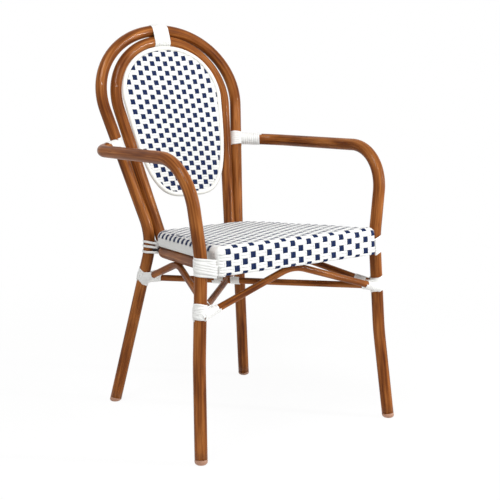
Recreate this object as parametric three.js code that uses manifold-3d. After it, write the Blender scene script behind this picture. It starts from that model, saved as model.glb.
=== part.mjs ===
// Stacking bistro armchair: a bamboo-look tube frame with a hand-woven seat and back.
// Millimetres, +Z up. The chair faces -Y and +X is on the right of someone looking at it.
// Everything is laid out from the middle of the front feet's line, then centred at the end.

import * as THREE from 'three';
import { mergeVertices } from 'three/addons/utils/BufferGeometryUtils.js';
import Module from 'manifold-3d';

const wasm = await Module();
wasm.setup();

// Driving dimensions

const frameTube = 27;
const ringTube = 27;
const braceTube = 15;
const crossTube = 14.5;
const rimTube = 12;
const seatGap = 0.2;

const seatFrontY = -232;
const seatFrontZ = 446.5;
const seatTilt = Math.atan(0.0625);
const seatFrontHalfWidth = 213;
const seatRearHalfWidth = 133.2;
const seatDepth = 386;
const seatThickness = 34.4;
const seatEdgeRadius = 14;
const seatUnderRadius = 8;
const seatRearCornerRadius = 55;
const seatFrontCornerRadius = 14;
const seatCrown = 3;
const apronDrop = 61.5;
const apronThickness = 14;
const ringInset = 13.8;
const ringFrontBack = 28.5;
const ringFrontCornerRadius = 20;
const cornerShare = 0.5;
const edgeSteps = 3;
const underShare = 1 - Math.SQRT1_2;
const spareShare = 1.5;

const hipBesideSeat = 20.1;
const kneeOutward = 11.3;
const footOutward = 12.3;
const hipX = seatFrontHalfWidth + hipBesideSeat;
const kneeX = hipX + kneeOutward;
const frontFootX = kneeX + footOutward;
const frontFootY = -232.5;
const kneeY = -211;
const kneeZ = 206;
const hipY = -204;
const hipZ = 419;
const kneeRadius = 500;
const hipRadius = 250;

const rearFootX = 188.3;
const rearFootBehindKink = 70.5;
const rearKinkInset = 11.5;
const rearKinkBehindSeat = 20.4;
const rearKinkZ = 400;
const rearKinkRadius = 160;
const rearKinkX = seatRearHalfWidth - rearKinkInset;
const rearKinkY = seatFrontY + seatDepth + rearKinkBehindSeat;
const backLeanSlope = 0.325;

const outerHoopHalfWidth = 187.3;
const outerHoopWidestZ = 723;
const outerHoopRise = 155.7;
const hoopSpacing = 37.3;
const hoopWidestStep = 6.4;
const hoopRiseStep = 19.8;
const innerHoopLowSpacing = 31.2;
const innerHoopHalfWidth = outerHoopHalfWidth - hoopSpacing;
const innerHoopWidestZ = outerHoopWidestZ - hoopWidestStep;
const innerHoopRise = outerHoopRise - hoopRiseStep;
const innerHoopLowX = rearKinkX - innerHoopLowSpacing;
const innerHoopEndZ = 358;
const innerHoopForward = 1.2;

const armRearZ = 611.4;
const armJointStep = 3.9;
const armFrontStep = 9.2;
const armReach = 81.6;
const armRearForward = 61.1;
const armFrontOutward = 26.6;
const armFrontX = hipX + armFrontOutward;
const armFrontY = -198;
const armFrontRadius = 101;
const armRearRadius = 65;
const armJointZ = armRearZ + armJointStep;
const armFrontZ = armRearZ + armFrontStep;

const rimSpacing = 15.3;
const rimWidestStep = 3.4;
const rimRiseStep = 20.1;
const rimHalfWidth = innerHoopHalfWidth - rimSpacing;
const rimWidestZ = innerHoopWidestZ + rimWidestStep;
const rimRise = innerHoopRise - rimRiseStep;
const rimFall = 225;
const rimTaperShare = 0.78;
const rimTaper = rimTaperShare * (innerHoopHalfWidth - innerHoopLowX) / (innerHoopWidestZ - innerHoopEndZ);
const rimForward = 14.3;
const rimTopPower = 2.1;
const rimFootPower = 3.8;
const backWeaveThickness = 7;

const braceEndZ = 304;
const braceRearZ = 299;
const bracePeakRadius = 100;
const frontBraceForward = 9;
const sidePeakY = 36;
const sideBraceFrontX = hipX - frameTube / 2;
const sideBraceFrontY = -203;
const sideBraceFrontZ = 317;
const crossZ = 307;

const capProud = 0.3;
const capHeight = 11;

const strandWidth = 5.1;
const strandThick = 1.4;
const strandPitch = 5.8;
const topTurns = 7;
const sleeveTurns = 6;
const lashPasses = 6;
const legPasses = 5;
const lowBindingZ = 314;
const seatBindingZ = 404;
const rearLoopZ = 382.5;
const rearLoopPitch = 7.6;
const rearLoops = 3;
const crossTurns = 3;
const frontBraceTurns = 4;
const sideBraceTurns = 3;
const topPitch = 6.2;
const strandSlack = 0.4;
const pairSteps = 16;
const armLashRun = 7;
const seatLashRun = 14;
const rearLoopRun = 19;
const rearBentRoom = 2;
const lowLashHalfSpan = 54;
const frontLashAway = -2;
const rearLashAway = 56;
const frontWindRun = 25;
const sideWindRun = 28;
const bentRoom = 0.4;
const strandGap = 0.2;
const hoopBendRoom = 1;
const peakLift = 0.9;
const spacerTube = 16;
const boltTube = 9;

const tubeSides = 12;
const slimSides = 10;
const rimSides = 8;
const degreesPerStep = 9;
const turnSteps = 14;
const braceTurnSteps = 12;
const lashSteps = 7;
const mergeDistance = 1e-4;

// Materials

const lacquer = (name) => new THREE.MeshStandardMaterial({
  name, color: 0x7d4724, roughness: 0.3, metalness: 0,
});
const whiteStrand = (name) => new THREE.MeshStandardMaterial({
  name, color: 0xe9e9e4, roughness: 0.5, metalness: 0,
});
const wovenStrand = (name) => new THREE.MeshStandardMaterial({
  name, color: 0xb9bdc9, roughness: 0.5, metalness: 0,
});
const footPlastic = (name) => new THREE.MeshStandardMaterial({
  name, color: 0xa97c66, roughness: 0.45, metalness: 0,
});
const darkSteel = (name) => new THREE.MeshStandardMaterial({
  name, color: 0x2b2a2a, roughness: 0.4, metalness: 0.8,
});

// Small helpers

const at = (x, y, z) => new THREE.Vector3(x, y, z);
const mirrored = (point) => at(-point.x, point.y, point.z);
const mix = (a, b, share) => a.clone().lerp(b, share);
const onLine = (a, b, z) => mix(a, b, (z - a.z) / (b.z - a.z));

// A mesh goes in and out of manifold for its boolean cuts.
function solidOf(geometry) {
  const bare = geometry.clone();
  bare.deleteAttribute('normal');
  bare.deleteAttribute('uv');
  const merged = mergeVertices(bare, mergeDistance);
  return new wasm.Manifold(new wasm.Mesh({
    numProp: 3,
    vertProperties: new Float32Array(merged.attributes.position.array),
    triVerts: new Uint32Array(merged.index.array),
  }));
}

// Of what a cut leaves, the largest body is the piece; slivers beyond the joint fall away.
function geometryOf(solid) {
  const bodies = solid.decompose().sort((a, b) => b.volume() - a.volume());
  const mesh = bodies[0].getMesh();
  const geometry = new THREE.BufferGeometry();
  geometry.setAttribute('position', new THREE.BufferAttribute(new Float32Array(mesh.vertProperties), 3));
  geometry.setIndex(new THREE.BufferAttribute(new Uint32Array(mesh.triVerts), 1));
  geometry.computeVertexNormals();
  return geometry;
}

const cutBy = (geometry, ...tools) => geometryOf(
  tools.reduce((solid, tool) => solid.subtract(solidOf(tool)), solidOf(geometry)),
);

// Corner points become a route with an arc at each inner corner.
function roundedRoute(corners, radii) {
  const route = [corners[0].clone()];
  for (let i = 1; i < corners.length - 1; i += 1) {
    const corner = corners[i];
    const back = corners[i - 1].clone().sub(corner).normalize();
    const ahead = corners[i + 1].clone().sub(corner).normalize();
    const half = back.angleTo(ahead) / 2;
    const radius = radii[i - 1];
    const centre = corner.clone().addScaledVector(
      back.clone().add(ahead).normalize(),
      radius / Math.sin(half),
    );
    const from = corner.clone().addScaledVector(back, radius / Math.tan(half)).sub(centre);
    const to = corner.clone().addScaledVector(ahead, radius / Math.tan(half)).sub(centre);
    const sweep = from.angleTo(to);
    const steps = Math.max(2, Math.ceil(THREE.MathUtils.radToDeg(sweep) / degreesPerStep));
    for (let step = 0; step <= steps; step += 1) {
      const share = step / steps;
      const spoke = from.clone().multiplyScalar(Math.sin((1 - share) * sweep) / Math.sin(sweep));
      spoke.addScaledVector(to, Math.sin(share * sweep) / Math.sin(sweep));
      route.push(centre.clone().add(spoke));
    }
  }
  route.push(corners.at(-1).clone());
  return route;
}

// A route whose rings sit on its own points, so straight runs need none in between.
class RingRoute extends THREE.Curve {
  constructor(points) {
    super();
    this.points = points;
  }

  getSpacedPoints() {
    return this.points.map((point) => point.clone());
  }

  getTangentAt(share) {
    const index = Math.round(share * (this.points.length - 1));
    const before = this.points[Math.max(index - 1, 0)];
    const after = this.points[Math.min(index + 1, this.points.length - 1)];
    return after.clone().sub(before).normalize();
  }
}

const roundSection = (radius, sides) => new THREE.Shape(
  Array.from({ length: sides }, (_, i) => {
    const angle = ((i + 0.5) / sides) * Math.PI * 2;
    return new THREE.Vector2(Math.cos(angle) * radius, Math.sin(angle) * radius);
  }),
);

const tube = (points, diameter, sides) => new THREE.ExtrudeGeometry(
  roundSection(diameter / 2, sides),
  { extrudePath: new RingRoute(points), steps: points.length - 1 },
);

// A section carried along rings that each know their place and their outward direction.
function sweep(rings, section, closed) {
  const positions = [];
  const faces = [];
  const count = rings.length;
  const sides = section.length;
  rings.forEach((ring, i) => {
    const before = rings[closed ? (i + count - 1) % count : Math.max(i - 1, 0)];
    const after = rings[closed ? (i + 1) % count : Math.min(i + 1, count - 1)];
    const along = after.place.clone().sub(before.place).normalize();
    const side = ring.outward.clone().cross(along).normalize();
    const outward = along.clone().cross(side);
    section.forEach(([across, out]) => {
      const point = ring.place.clone().addScaledVector(side, across).addScaledVector(outward, out);
      positions.push(point.x, point.y, point.z);
    });
  });
  const spans = closed ? count : count - 1;
  for (let i = 0; i < spans; i += 1) {
    const here = i * sides;
    const next = ((i + 1) % count) * sides;
    for (let j = 0; j < sides; j += 1) {
      const k = (j + 1) % sides;
      faces.push(here + j, here + k, next + k, here + j, next + k, next + j);
    }
  }
  if (!closed) {
    const last = (count - 1) * sides;
    for (let j = 1; j < sides - 1; j += 1) {
      faces.push(0, j + 1, j, last, last + j, last + j + 1);
    }
  }
  const geometry = new THREE.BufferGeometry();
  geometry.setAttribute('position', new THREE.Float32BufferAttribute(positions, 3));
  geometry.setIndex(faces);
  geometry.computeVertexNormals();
  return geometry;
}

const roundRings = (diameter, sides) => Array.from({ length: sides }, (_, i) => {
  const angle = ((i + 0.5) / sides) * Math.PI * 2;
  return [Math.cos(angle) * diameter / 2, Math.sin(angle) * diameter / 2];
});

// Frame: routes of the bent tubes

const backY = (z) => rearKinkY + (z - rearKinkZ) * backLeanSlope;
const acrossChair = at(1, 0, 0);
const backPoint = (x, z, forward = 0) => at(x, backY(z) - forward, z);

// From a point below, the hoop runs straight until it touches its ellipse, then over the top.
function hoopRoute(lowX, lowZ, halfWidth, widestZ, rise, forward = 0) {
  const p = lowX / halfWidth;
  const q = (lowZ - widestZ) / rise;
  const start = Math.atan2(q, p) + Math.acos(1 / Math.hypot(p, q));
  const steps = 2 * Math.round(THREE.MathUtils.radToDeg(Math.PI / 2 - start) / degreesPerStep);
  return Array.from({ length: steps + 1 }, (_, i) => {
    const angle = start + (i / steps) * (Math.PI - 2 * start);
    return backPoint(halfWidth * Math.cos(angle), widestZ + rise * Math.sin(angle), forward);
  });
}

const rearFoot = at(rearFootX, rearKinkY + rearFootBehindKink, capHeight);
const rearKink = at(rearKinkX, rearKinkY, rearKinkZ);
const outerArch = hoopRoute(rearKinkX, rearKinkZ, outerHoopHalfWidth, outerHoopWidestZ, outerHoopRise);
const rearSide = roundedRoute([rearFoot, rearKink, outerArch[0]], [rearKinkRadius]).slice(0, -1);
const outerRoute = [...rearSide, ...outerArch, ...rearSide.toReversed().map(mirrored)];

const innerArch = hoopRoute(
  innerHoopLowX, innerHoopEndZ, innerHoopHalfWidth, innerHoopWidestZ, innerHoopRise, innerHoopForward,
);
const innerLow = backPoint(innerHoopLowX, innerHoopEndZ, innerHoopForward);
const innerRoute = [innerLow, ...innerArch, mirrored(innerLow)];

const frontFoot = at(frontFootX, frontFootY, capHeight);
const knee = at(kneeX, kneeY, kneeZ);
const hip = at(hipX, hipY, hipZ);
const armFront = at(armFrontX, armFrontY, armFrontZ);
const { place: armJoint, way: hoopWay } = routeAt(outerRoute, armJointZ);
const armRear = at(armJoint.x + armReach, backY(armRearZ) - armRearForward, armRearZ);
const armRoute = roundedRoute(
  [frontFoot, knee, hip, armFront, armRear, armJoint],
  [kneeRadius, hipRadius, armFrontRadius, armRearRadius],
);

const outerHoop = tube(outerRoute, frameTube, tubeSides);
const outerHoopRoom = tube(outerRoute, frameTube + 2 * seatGap, tubeSides);

// Seat: the ring and the woven panel share a plane that falls towards the back.

const seatAxes = new THREE.Matrix4().makeRotationX(-seatTilt).setPosition(0, seatFrontY, seatFrontZ);
const onSeat = (x, back, drop) => at(x, back, -drop).applyMatrix4(seatAxes);
const seatHalfWidth = (back) => seatFrontHalfWidth
  - (back / seatDepth) * (seatFrontHalfWidth - seatRearHalfWidth);

// The plan of the seat, drawn in by an inset, as a closed run of points from the front left.
function seatPlan(inset, frontBack, frontRadius, rearRadius) {
  const front = frontBack;
  const rear = seatDepth - inset;
  const halfAt = (back) => seatHalfWidth(back) - inset;
  const corners = [
    at(-halfAt(front), front, 0), at(halfAt(front), front, 0),
    at(halfAt(rear), rear, 0), at(-halfAt(rear), rear, 0),
  ];
  const radii = [frontRadius, frontRadius, rearRadius, rearRadius];
  const loop = [];
  corners.forEach((corner, i) => {
    const before = corners[(i + 3) % 4];
    const after = corners[(i + 1) % 4];
    loop.push(...roundedRoute([before, corner, after], [radii[i]]).slice(1, -1));
  });
  return loop;
}

const ringDrop = seatThickness + ringTube / 2 + seatGap;
const ringPlan = seatPlan(
  ringInset, ringFrontBack, ringFrontCornerRadius, seatRearCornerRadius - ringInset,
);
const ringLoop = (diameter) => sweep(
  ringPlan.map((point) => ({
    place: onSeat(point.x, point.y, ringDrop),
    outward: at(0, 0, 1),
  })),
  roundRings(diameter, slimSides),
  true,
);
const ringRoom = ringLoop(ringTube + 2 * seatGap);
const cornerReach = (point) => point.y + point.x * cornerShare;
const ringCorner = ringPlan.reduce(
  (best, point) => (cornerReach(point) > cornerReach(best) ? point : best),
);

// The panel is a stack of plans, drawn in round its top edge and a little round its lower one.
function seatPanel() {
  const rounding = Array.from({ length: edgeSteps + 1 }, (_, i) => (i / edgeSteps) * (Math.PI / 2));
  const levels = [
    { inset: seatUnderRadius, drop: seatThickness },
    { inset: seatUnderRadius * underShare, drop: seatThickness - seatUnderRadius * underShare },
    { inset: 0, drop: seatThickness - seatUnderRadius },
    ...rounding.map((angle) => ({
      inset: seatEdgeRadius * (1 - Math.cos(angle)),
      drop: seatEdgeRadius * (1 - Math.sin(angle)),
    })),
  ];
  const plans = levels.map(({ inset, drop }) => seatPlan(
    inset, inset, seatFrontCornerRadius, seatRearCornerRadius - inset,
  ).map((point) => at(point.x, point.y, -drop)));
  const perPlan = plans[0].length;
  const faces = [];
  plans.slice(1).forEach((_, level) => {
    for (let i = 0; i < perPlan; i += 1) {
      const next = (i + 1) % perPlan;
      const low = level * perPlan;
      const high = low + perPlan;
      faces.push(low + i, low + next, high + next, low + i, high + next, high + i);
    }
  });
  const points = plans.flat();
  const top = (plans.length - 1) * perPlan;
  const under = points.push(at(0, seatDepth / 2, -seatThickness)) - 1;
  const crown = points.push(at(0, seatDepth / 2, seatCrown)) - 1;
  for (let i = 0; i < perPlan; i += 1) {
    const next = (i + 1) % perPlan;
    faces.push(under, next, i, crown, top + i, top + next);
  }
  const geometry = new THREE.BufferGeometry().setFromPoints(points);
  geometry.setIndex(faces);
  return geometry;
}

// The front band hangs lower than the panel, so it is a deeper slice of the same plan.
function seatApron() {
  const plan = seatPlan(0, 0, seatFrontCornerRadius, seatRearCornerRadius);
  const deep = new THREE.ExtrudeGeometry(
    new THREE.Shape(plan.map((point) => new THREE.Vector2(point.x, point.y))),
    { depth: apronDrop - seatThickness / 2, bevelEnabled: false },
  ).translate(0, 0, -apronDrop);
  const slice = new THREE.BoxGeometry(
    2 * seatFrontHalfWidth * spareShare, 2 * apronThickness, 2 * apronDrop * spareShare,
  );
  return solidOf(deep).intersect(solidOf(slice));
}

const wovenSeat = geometryOf(solidOf(seatPanel()).add(seatApron())).applyMatrix4(seatAxes);

// Back: an oval rim lies in front of the inner hoop and holds the woven panel.

function ovalPoint(angle, inset, forward) {
  const up = Math.sin(angle) > 0;
  const power = 2 / (up ? rimTopPower : rimFootPower);
  const reach = (up ? rimRise : rimFall) - inset;
  const z = rimWidestZ + reach * Math.sign(Math.sin(angle)) * Math.abs(Math.sin(angle)) ** power;
  const taper = up ? 0 : (rimWidestZ - z) * rimTaper;
  const half = rimHalfWidth - inset - taper;
  const x = half * Math.sign(Math.cos(angle)) * Math.abs(Math.cos(angle)) ** power;
  return backPoint(x, z, forward);
}

const ovalSteps = 44;
const oval = (inset, forward) => Array.from(
  { length: ovalSteps },
  (_, i) => ovalPoint(((i + 0.5) / ovalSteps) * Math.PI * 2, inset, forward),
);
const backNormal = at(0, -1, backLeanSlope).normalize();
const rimForwardY = rimForward / Math.cos(Math.atan(backLeanSlope));

const backRim = sweep(
  oval(0, rimForwardY).map((place) => ({ place, outward: backNormal })),
  roundRings(rimTube, rimSides),
  true,
);

// The plate is the oval drawn in to the rim's inner edge, with the same points front and back.
function backWeave() {
  const inset = (rimTube / 2) * Math.cos(Math.PI / rimSides) + seatGap;
  const middle = oval(inset, rimForwardY);
  const shifted = (way) => middle.map(
    (point) => point.clone().addScaledVector(backNormal, way * backWeaveThickness / 2),
  );
  const points = [...shifted(1), ...shifted(-1)];
  const faces = [];
  for (let i = 0; i < ovalSteps; i += 1) {
    const next = (i + 1) % ovalSteps;
    faces.push(i, next, ovalSteps + next, i, ovalSteps + next, ovalSteps + i);
  }
  for (let i = 1; i < ovalSteps - 1; i += 1) {
    faces.push(0, i + 1, i, ovalSteps, ovalSteps + i, ovalSteps + i + 1);
  }
  const geometry = new THREE.BufferGeometry().setFromPoints(points);
  geometry.setIndex(faces.reverse());
  return geometry;
}

// Braces: four bent tubes, one under each side of the seat ring, and a cross between the legs.

const frontLegAt = (z) => onLine(knee, hip, z);
const rearLegAt = (z) => onLine(rearFoot, rearKink, z);
const peakDrop = seatThickness + 2 * seatGap + ringTube + braceTube / 2 - peakLift;

// The peak of the route touches the ring, so its corner stands above by what the arc cuts off.
function braceRoute(left, peak, right) {
  const back = left.clone().sub(peak).normalize();
  const ahead = right.clone().sub(peak).normalize();
  const half = back.angleTo(ahead) / 2;
  const cutOff = bracePeakRadius * (1 / Math.sin(half) - 1);
  const corner = peak.clone().sub(back.add(ahead).normalize().multiplyScalar(cutOff));
  return roundedRoute([left, corner, right], [bracePeakRadius]);
}

const frontBraceEnd = frontLegAt(braceEndZ).add(at(0, -frontBraceForward, 0));
const frontPeak = onSeat(0, ringFrontBack, peakDrop);
const frontBraceRoute = braceRoute(mirrored(frontBraceEnd), frontPeak, frontBraceEnd);

const rearBraceEnd = rearLegAt(braceRearZ);
const rearPeak = onSeat(0, seatDepth - ringInset, peakDrop);
const rearBraceRoute = braceRoute(mirrored(rearBraceEnd), rearPeak, rearBraceEnd);

const sidePeakBack = (sidePeakY - seatFrontY) / Math.cos(seatTilt);
const sidePeak = onSeat(seatHalfWidth(sidePeakBack) - ringInset, sidePeakBack, peakDrop);
const sideBraceFront = at(sideBraceFrontX, sideBraceFrontY, sideBraceFrontZ);
const sideBraceRoute = braceRoute(sideBraceFront, sidePeak, rearLegAt(braceRearZ));

const crossFront = frontLegAt(crossZ);
const crossRear = rearLegAt(crossZ);
const crossShare = crossFront.x / (crossFront.x + crossRear.x);
const crossMiddle = mix(crossFront, mirrored(crossRear), crossShare);
const slim = (route, diameter) => tube(route, diameter, slimSides);
const roomOf = (route, diameter) => slim(route, diameter + 2 * seatGap);

const armRoom = tube(armRoute, frameTube + 2 * seatGap, tubeSides);
const mirrorX = (geometry) => {
  const flipped = geometry.index ? geometry.toNonIndexed() : geometry.clone();
  flipped.scale(-1, 1, 1);
  const { array } = flipped.attributes.position;
  for (let i = 0; i < array.length; i += 9) {
    for (let j = 0; j < 3; j += 1) {
      [array[i + 3 + j], array[i + 6 + j]] = [array[i + 6 + j], array[i + 3 + j]];
    }
  }
  flipped.deleteAttribute('normal');
  flipped.deleteAttribute('uv');
  const merged = mergeVertices(flipped, mergeDistance);
  merged.computeVertexNormals();
  return merged;
};

const throughRoute = [mirrored(crossRear), crossFront];
const halfFrontRoute = [mirrored(crossFront), crossMiddle];
const halfRearRoute = [crossMiddle, crossRear];
const frontBraceRoom = roomOf(frontBraceRoute, braceTube);
const throughRoom = roomOf(throughRoute, crossTube);
const crossRooms = [throughRoom, mirrorX(throughRoom)];
const sideBraceRoom = roomOf(sideBraceRoute, braceTube);
const rooms = {
  legs: [outerHoopRoom, armRoom, mirrorX(armRoom)],
  sides: [sideBraceRoom, mirrorX(sideBraceRoom)],
};

const frontBrace = cutBy(slim(frontBraceRoute, braceTube), ...rooms.legs);
const crossThrough = cutBy(slim(throughRoute, crossTube), ...rooms.legs);
const crossHalfFront = cutBy(slim(halfFrontRoute, crossTube), ...rooms.legs, throughRoom);
const crossHalfRear = cutBy(slim(halfRearRoute, crossTube), ...rooms.legs, throughRoom);
const sideBrace = cutBy(
  slim(sideBraceRoute, braceTube), ...rooms.legs, frontBraceRoom, ...crossRooms,
);
const rearBrace = cutBy(
  slim(rearBraceRoute, braceTube), ...rooms.legs, ...crossRooms, ...rooms.sides,
);

const arm = cutBy(tube(armRoute, frameTube, tubeSides), outerHoopRoom);
const innerHoop = cutBy(tube(innerRoute, frameTube, tubeSides), ringRoom, outerHoopRoom);

// The place and direction of a route where it rises through a height.
function routeAt(route, z) {
  const i = route.findIndex((point, k) => k > 0 && point.z >= z);
  const way = route[i].clone().sub(route[i - 1]).normalize();
  return { place: onLine(route[i - 1], route[i], z), way };
}

// Spacers: short stubs stand the seat ring off the four legs.

function stubBetween(from, to, diameter, sides) {
  return cutBy(tube([from, to], diameter, sides), ringRoom, ...rooms.legs);
}

const frontLegBeside = frontLegAt(onSeat(0, ringFrontBack, ringDrop).z);
const frontStubBack = frontLegBeside.y - seatFrontY;
const ringBeside = onSeat(seatHalfWidth(frontStubBack) - ringInset, frontStubBack, ringDrop);
const frontStubEnd = frontLegBeside.clone().setX(ringBeside.x);
const frontStub = stubBetween(frontLegBeside, frontStubEnd, spacerTube, slimSides);
const ringCornerPlace = onSeat(ringCorner.x, ringCorner.y, ringDrop);
const rearLegBeside = routeAt(outerRoute, ringCornerPlace.z).place;
const rearStub = stubBetween(rearLegBeside, ringCornerPlace, boltTube, rimSides);

// Foot caps: a plug in the end of each leg, cut flat where it meets the floor.

function footCap(foot, above) {
  const radius = frameTube / 2 + capProud;
  const profile = [
    [0, -2 * capHeight], [radius, -2 * capHeight], [radius, -seatGap], [0, -seatGap],
  ].map(([across, height]) => new THREE.Vector2(across, height));
  const plug = new THREE.LatheGeometry(profile, tubeSides);
  const axis = above.clone().sub(foot).normalize();
  plug.applyQuaternion(new THREE.Quaternion().setFromUnitVectors(at(0, 1, 0), axis));
  plug.translate(foot.x, foot.y, foot.z);
  const floorSize = 2 * frameTube * spareShare;
  const floor = new THREE.BoxGeometry(floorSize, floorSize, floorSize);
  floor.translate(foot.x, foot.y, -floorSize / 2);
  return cutBy(plug, floor);
}

// Bindings: flat strand wound over the joints

const strandSection = [
  [-strandWidth / 2, 0], [strandWidth / 2, 0],
  [strandWidth / 2, strandThick], [-strandWidth / 2, strandThick],
];
const windRadius = (diameter, steps) => (diameter / 2 + strandGap) / Math.cos(Math.PI / steps);

// The least distance between parts of one strand that aren't neighbours along it.
const selfGaps = {};
function noteGap(name, rings) {
  let least = Infinity;
  let lengths = 0;
  const along = rings.map((ring, i) => {
    lengths += i > 0 ? ring.place.distanceTo(rings[i - 1].place) : 0;
    return lengths;
  });
  for (let i = 0; i < rings.length; i += 1) {
    for (let j = i + 1; j < rings.length; j += 1) {
      if (along[j] - along[i] > strandWidth * 2) {
        least = Math.min(least, rings[i].place.distanceTo(rings[j].place));
      }
    }
  }
  selfGaps[name] = Number((least - strandWidth).toFixed(2));
}

// A helix round an outline, which gives a ring for each step of a turn and each run along the axis.
function winding(name, outline, turns, steps, pitch) {
  const rings = [];
  for (let i = 0; i <= turns * steps; i += 1) {
    rings.push(outline(i % steps, pitch * (i / steps - turns / 2)));
  }
  noteGap(name, rings);
  return sweep(rings, strandSection, false);
}

function circleOutline(centre, axis, diameter, steps) {
  const radius = windRadius(diameter, steps);
  const across = at(0, 0, 1).cross(axis).normalize();
  const over = axis.clone().cross(across);
  return (step, run) => {
    const angle = (step / steps) * Math.PI * 2;
    const outward = across.clone().multiplyScalar(Math.cos(angle)).addScaledVector(over, Math.sin(angle));
    const place = centre.clone().addScaledVector(axis, run).addScaledVector(outward, radius);
    return { place, outward };
  };
}

// Round both hoops at their tops: half a turn about each, with a straight run between.
function hoopPairOutline(steps) {
  const half = steps / 2 - 1;
  const radius = windRadius(frameTube + hoopBendRoom, 2 * half);
  const topOf = (x, halfWidth, widestZ, rise, forward) => backPoint(
    x, widestZ + rise * Math.sqrt(1 - (x / halfWidth) ** 2), forward,
  );
  return (step, run) => {
    const high = topOf(run, outerHoopHalfWidth, outerHoopWidestZ, outerHoopRise, 0);
    const low = topOf(run, innerHoopHalfWidth, innerHoopWidestZ, innerHoopRise, innerHoopForward);
    const up = high.clone().sub(low).normalize();
    const across = up.clone().cross(acrossChair).normalize();
    const onHigh = step <= half;
    const angle = Math.PI * (onHigh ? step / half : 1 + (step - half - 1) / half);
    const outward = across.multiplyScalar(Math.cos(angle)).addScaledVector(up, Math.sin(angle));
    return { place: (onHigh ? high : low).addScaledVector(outward, radius), outward };
  };
}

// A lashing goes round the far side of a tube in passes, with a bend back at each end.
function lashing(name, centre, axis, away, { diameter, halfSpan, straight, passes, pitch }) {
  const out = away.clone().addScaledVector(axis, -away.dot(axis)).normalize();
  const across = axis.clone().cross(out);
  const radius = (diameter / 2 + strandGap) / Math.cos(halfSpan / lashSteps);
  const rings = [];
  const push = (angle, run, climb) => {
    const outward = out.clone().multiplyScalar(Math.cos(angle)).addScaledVector(across, Math.sin(angle));
    const tangent = out.clone().multiplyScalar(-Math.sin(angle)).addScaledVector(across, Math.cos(angle));
    const place = centre.clone().addScaledVector(outward, radius);
    place.addScaledVector(tangent, Math.sign(angle) * run).addScaledVector(axis, climb);
    rings.push({ place, outward });
  };
  for (let pass = 0; pass < passes; pass += 1) {
    const climb = (pass - (passes - 1) / 2) * pitch;
    const way = pass % 2 ? -1 : 1;
    push(-way * halfSpan, straight, climb);
    for (let i = 0; i <= lashSteps; i += 1) {
      push(way * halfSpan * (2 * (i / lashSteps) - 1), 0, climb);
    }
    push(way * halfSpan, straight, climb);
    if (pass < passes - 1) {
      push(way * halfSpan, straight + pitch / 2, climb + pitch / 2);
    }
  }
  noteGap(name, rings);
  return sweep(rings, strandSection, false);
}

const topBinding = winding('top', hoopPairOutline(pairSteps), topTurns, pairSteps, topPitch);

const turned = (degrees) => {
  const angle = THREE.MathUtils.degToRad(degrees);
  return at(Math.cos(angle), Math.sin(angle), 0);
};

const armWay = armRear.clone().sub(armJoint).normalize();
const sleeveMiddle = armJoint.clone().addScaledVector(
  armWay, frameTube / 2 + strandWidth + (sleeveTurns * strandPitch) / 2,
);
const armSleeve = winding(
  'arm sleeve', circleOutline(sleeveMiddle, armWay, frameTube, turnSteps),
  sleeveTurns, turnSteps, strandPitch,
);
const armLash = lashing('arm lash', armJoint, hoopWay, armWay.clone().negate(), {
  diameter: frameTube, halfSpan: Math.PI / 2, straight: armLashRun,
  passes: lashPasses, pitch: strandPitch,
});

const seatLeg = routeAt(armRoute, seatBindingZ);
const seatLash = lashing('seat lash', seatLeg.place, seatLeg.way, acrossChair, {
  diameter: frameTube + bentRoom, halfSpan: Math.PI / 2, straight: seatLashRun,
  passes: lashPasses, pitch: strandPitch + strandSlack,
});

const rearSeatLeg = routeAt(outerRoute, rearLoopZ);
const rearLash = lashing('rear loops', rearSeatLeg.place, rearSeatLeg.way, at(0, 1, 0), {
  diameter: frameTube + rearBentRoom, halfSpan: Math.PI / 2, straight: rearLoopRun,
  passes: rearLoops, pitch: rearLoopPitch,
});

const lowLash = (name, leg, away) => lashing(name, leg.place, leg.way, away, {
  diameter: frameTube, halfSpan: THREE.MathUtils.degToRad(lowLashHalfSpan), straight: strandPitch / 2,
  passes: legPasses, pitch: strandPitch + strandSlack,
});
const frontLowLash = lowLash('front low', routeAt(armRoute, lowBindingZ), turned(frontLashAway));
const rearLowLash = lowLash('rear low', routeAt(outerRoute, lowBindingZ), turned(rearLashAway));

// A few turns round the end of a brace, starting a given run away from the leg's middle.
function braceWind(name, end, inward, diameter, run, turns) {
  const way = inward.clone().sub(end).normalize();
  const middle = end.clone().addScaledVector(way, run + (turns * strandPitch) / 2);
  return winding(
    name, circleOutline(middle, way, diameter, braceTurnSteps),
    turns, braceTurnSteps, strandPitch,
  );
}

const frontBraceWind = braceWind(
  'front brace', frontBraceEnd, frontBraceRoute.at(-2), braceTube, frontWindRun, frontBraceTurns,
);
const sideBraceWind = braceWind(
  'side brace', sideBraceRoute.at(-1), sideBraceRoute.at(-2), braceTube, sideWindRun, sideBraceTurns,
);
const crossWindRun = crossTube / 2 + strandWidth;
const crossWinds = [mirrored(crossRear), crossFront].map((end, i) => braceWind(
  `cross ${i}`, crossMiddle, end, crossTube, crossWindRun, crossTurns,
));

console.log('least gaps of each strand to itself, mm', selfGaps);

// Assembly

const chair = new THREE.Group();

function add(name, geometry, material) {
  const mesh = new THREE.Mesh(geometry, material(name));
  mesh.name = name;
  chair.add(mesh);
}

function addPair(name, geometry, material) {
  add(`${name}_right`, geometry, material);
  add(`${name}_left`, mirrorX(geometry), material);
}

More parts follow.
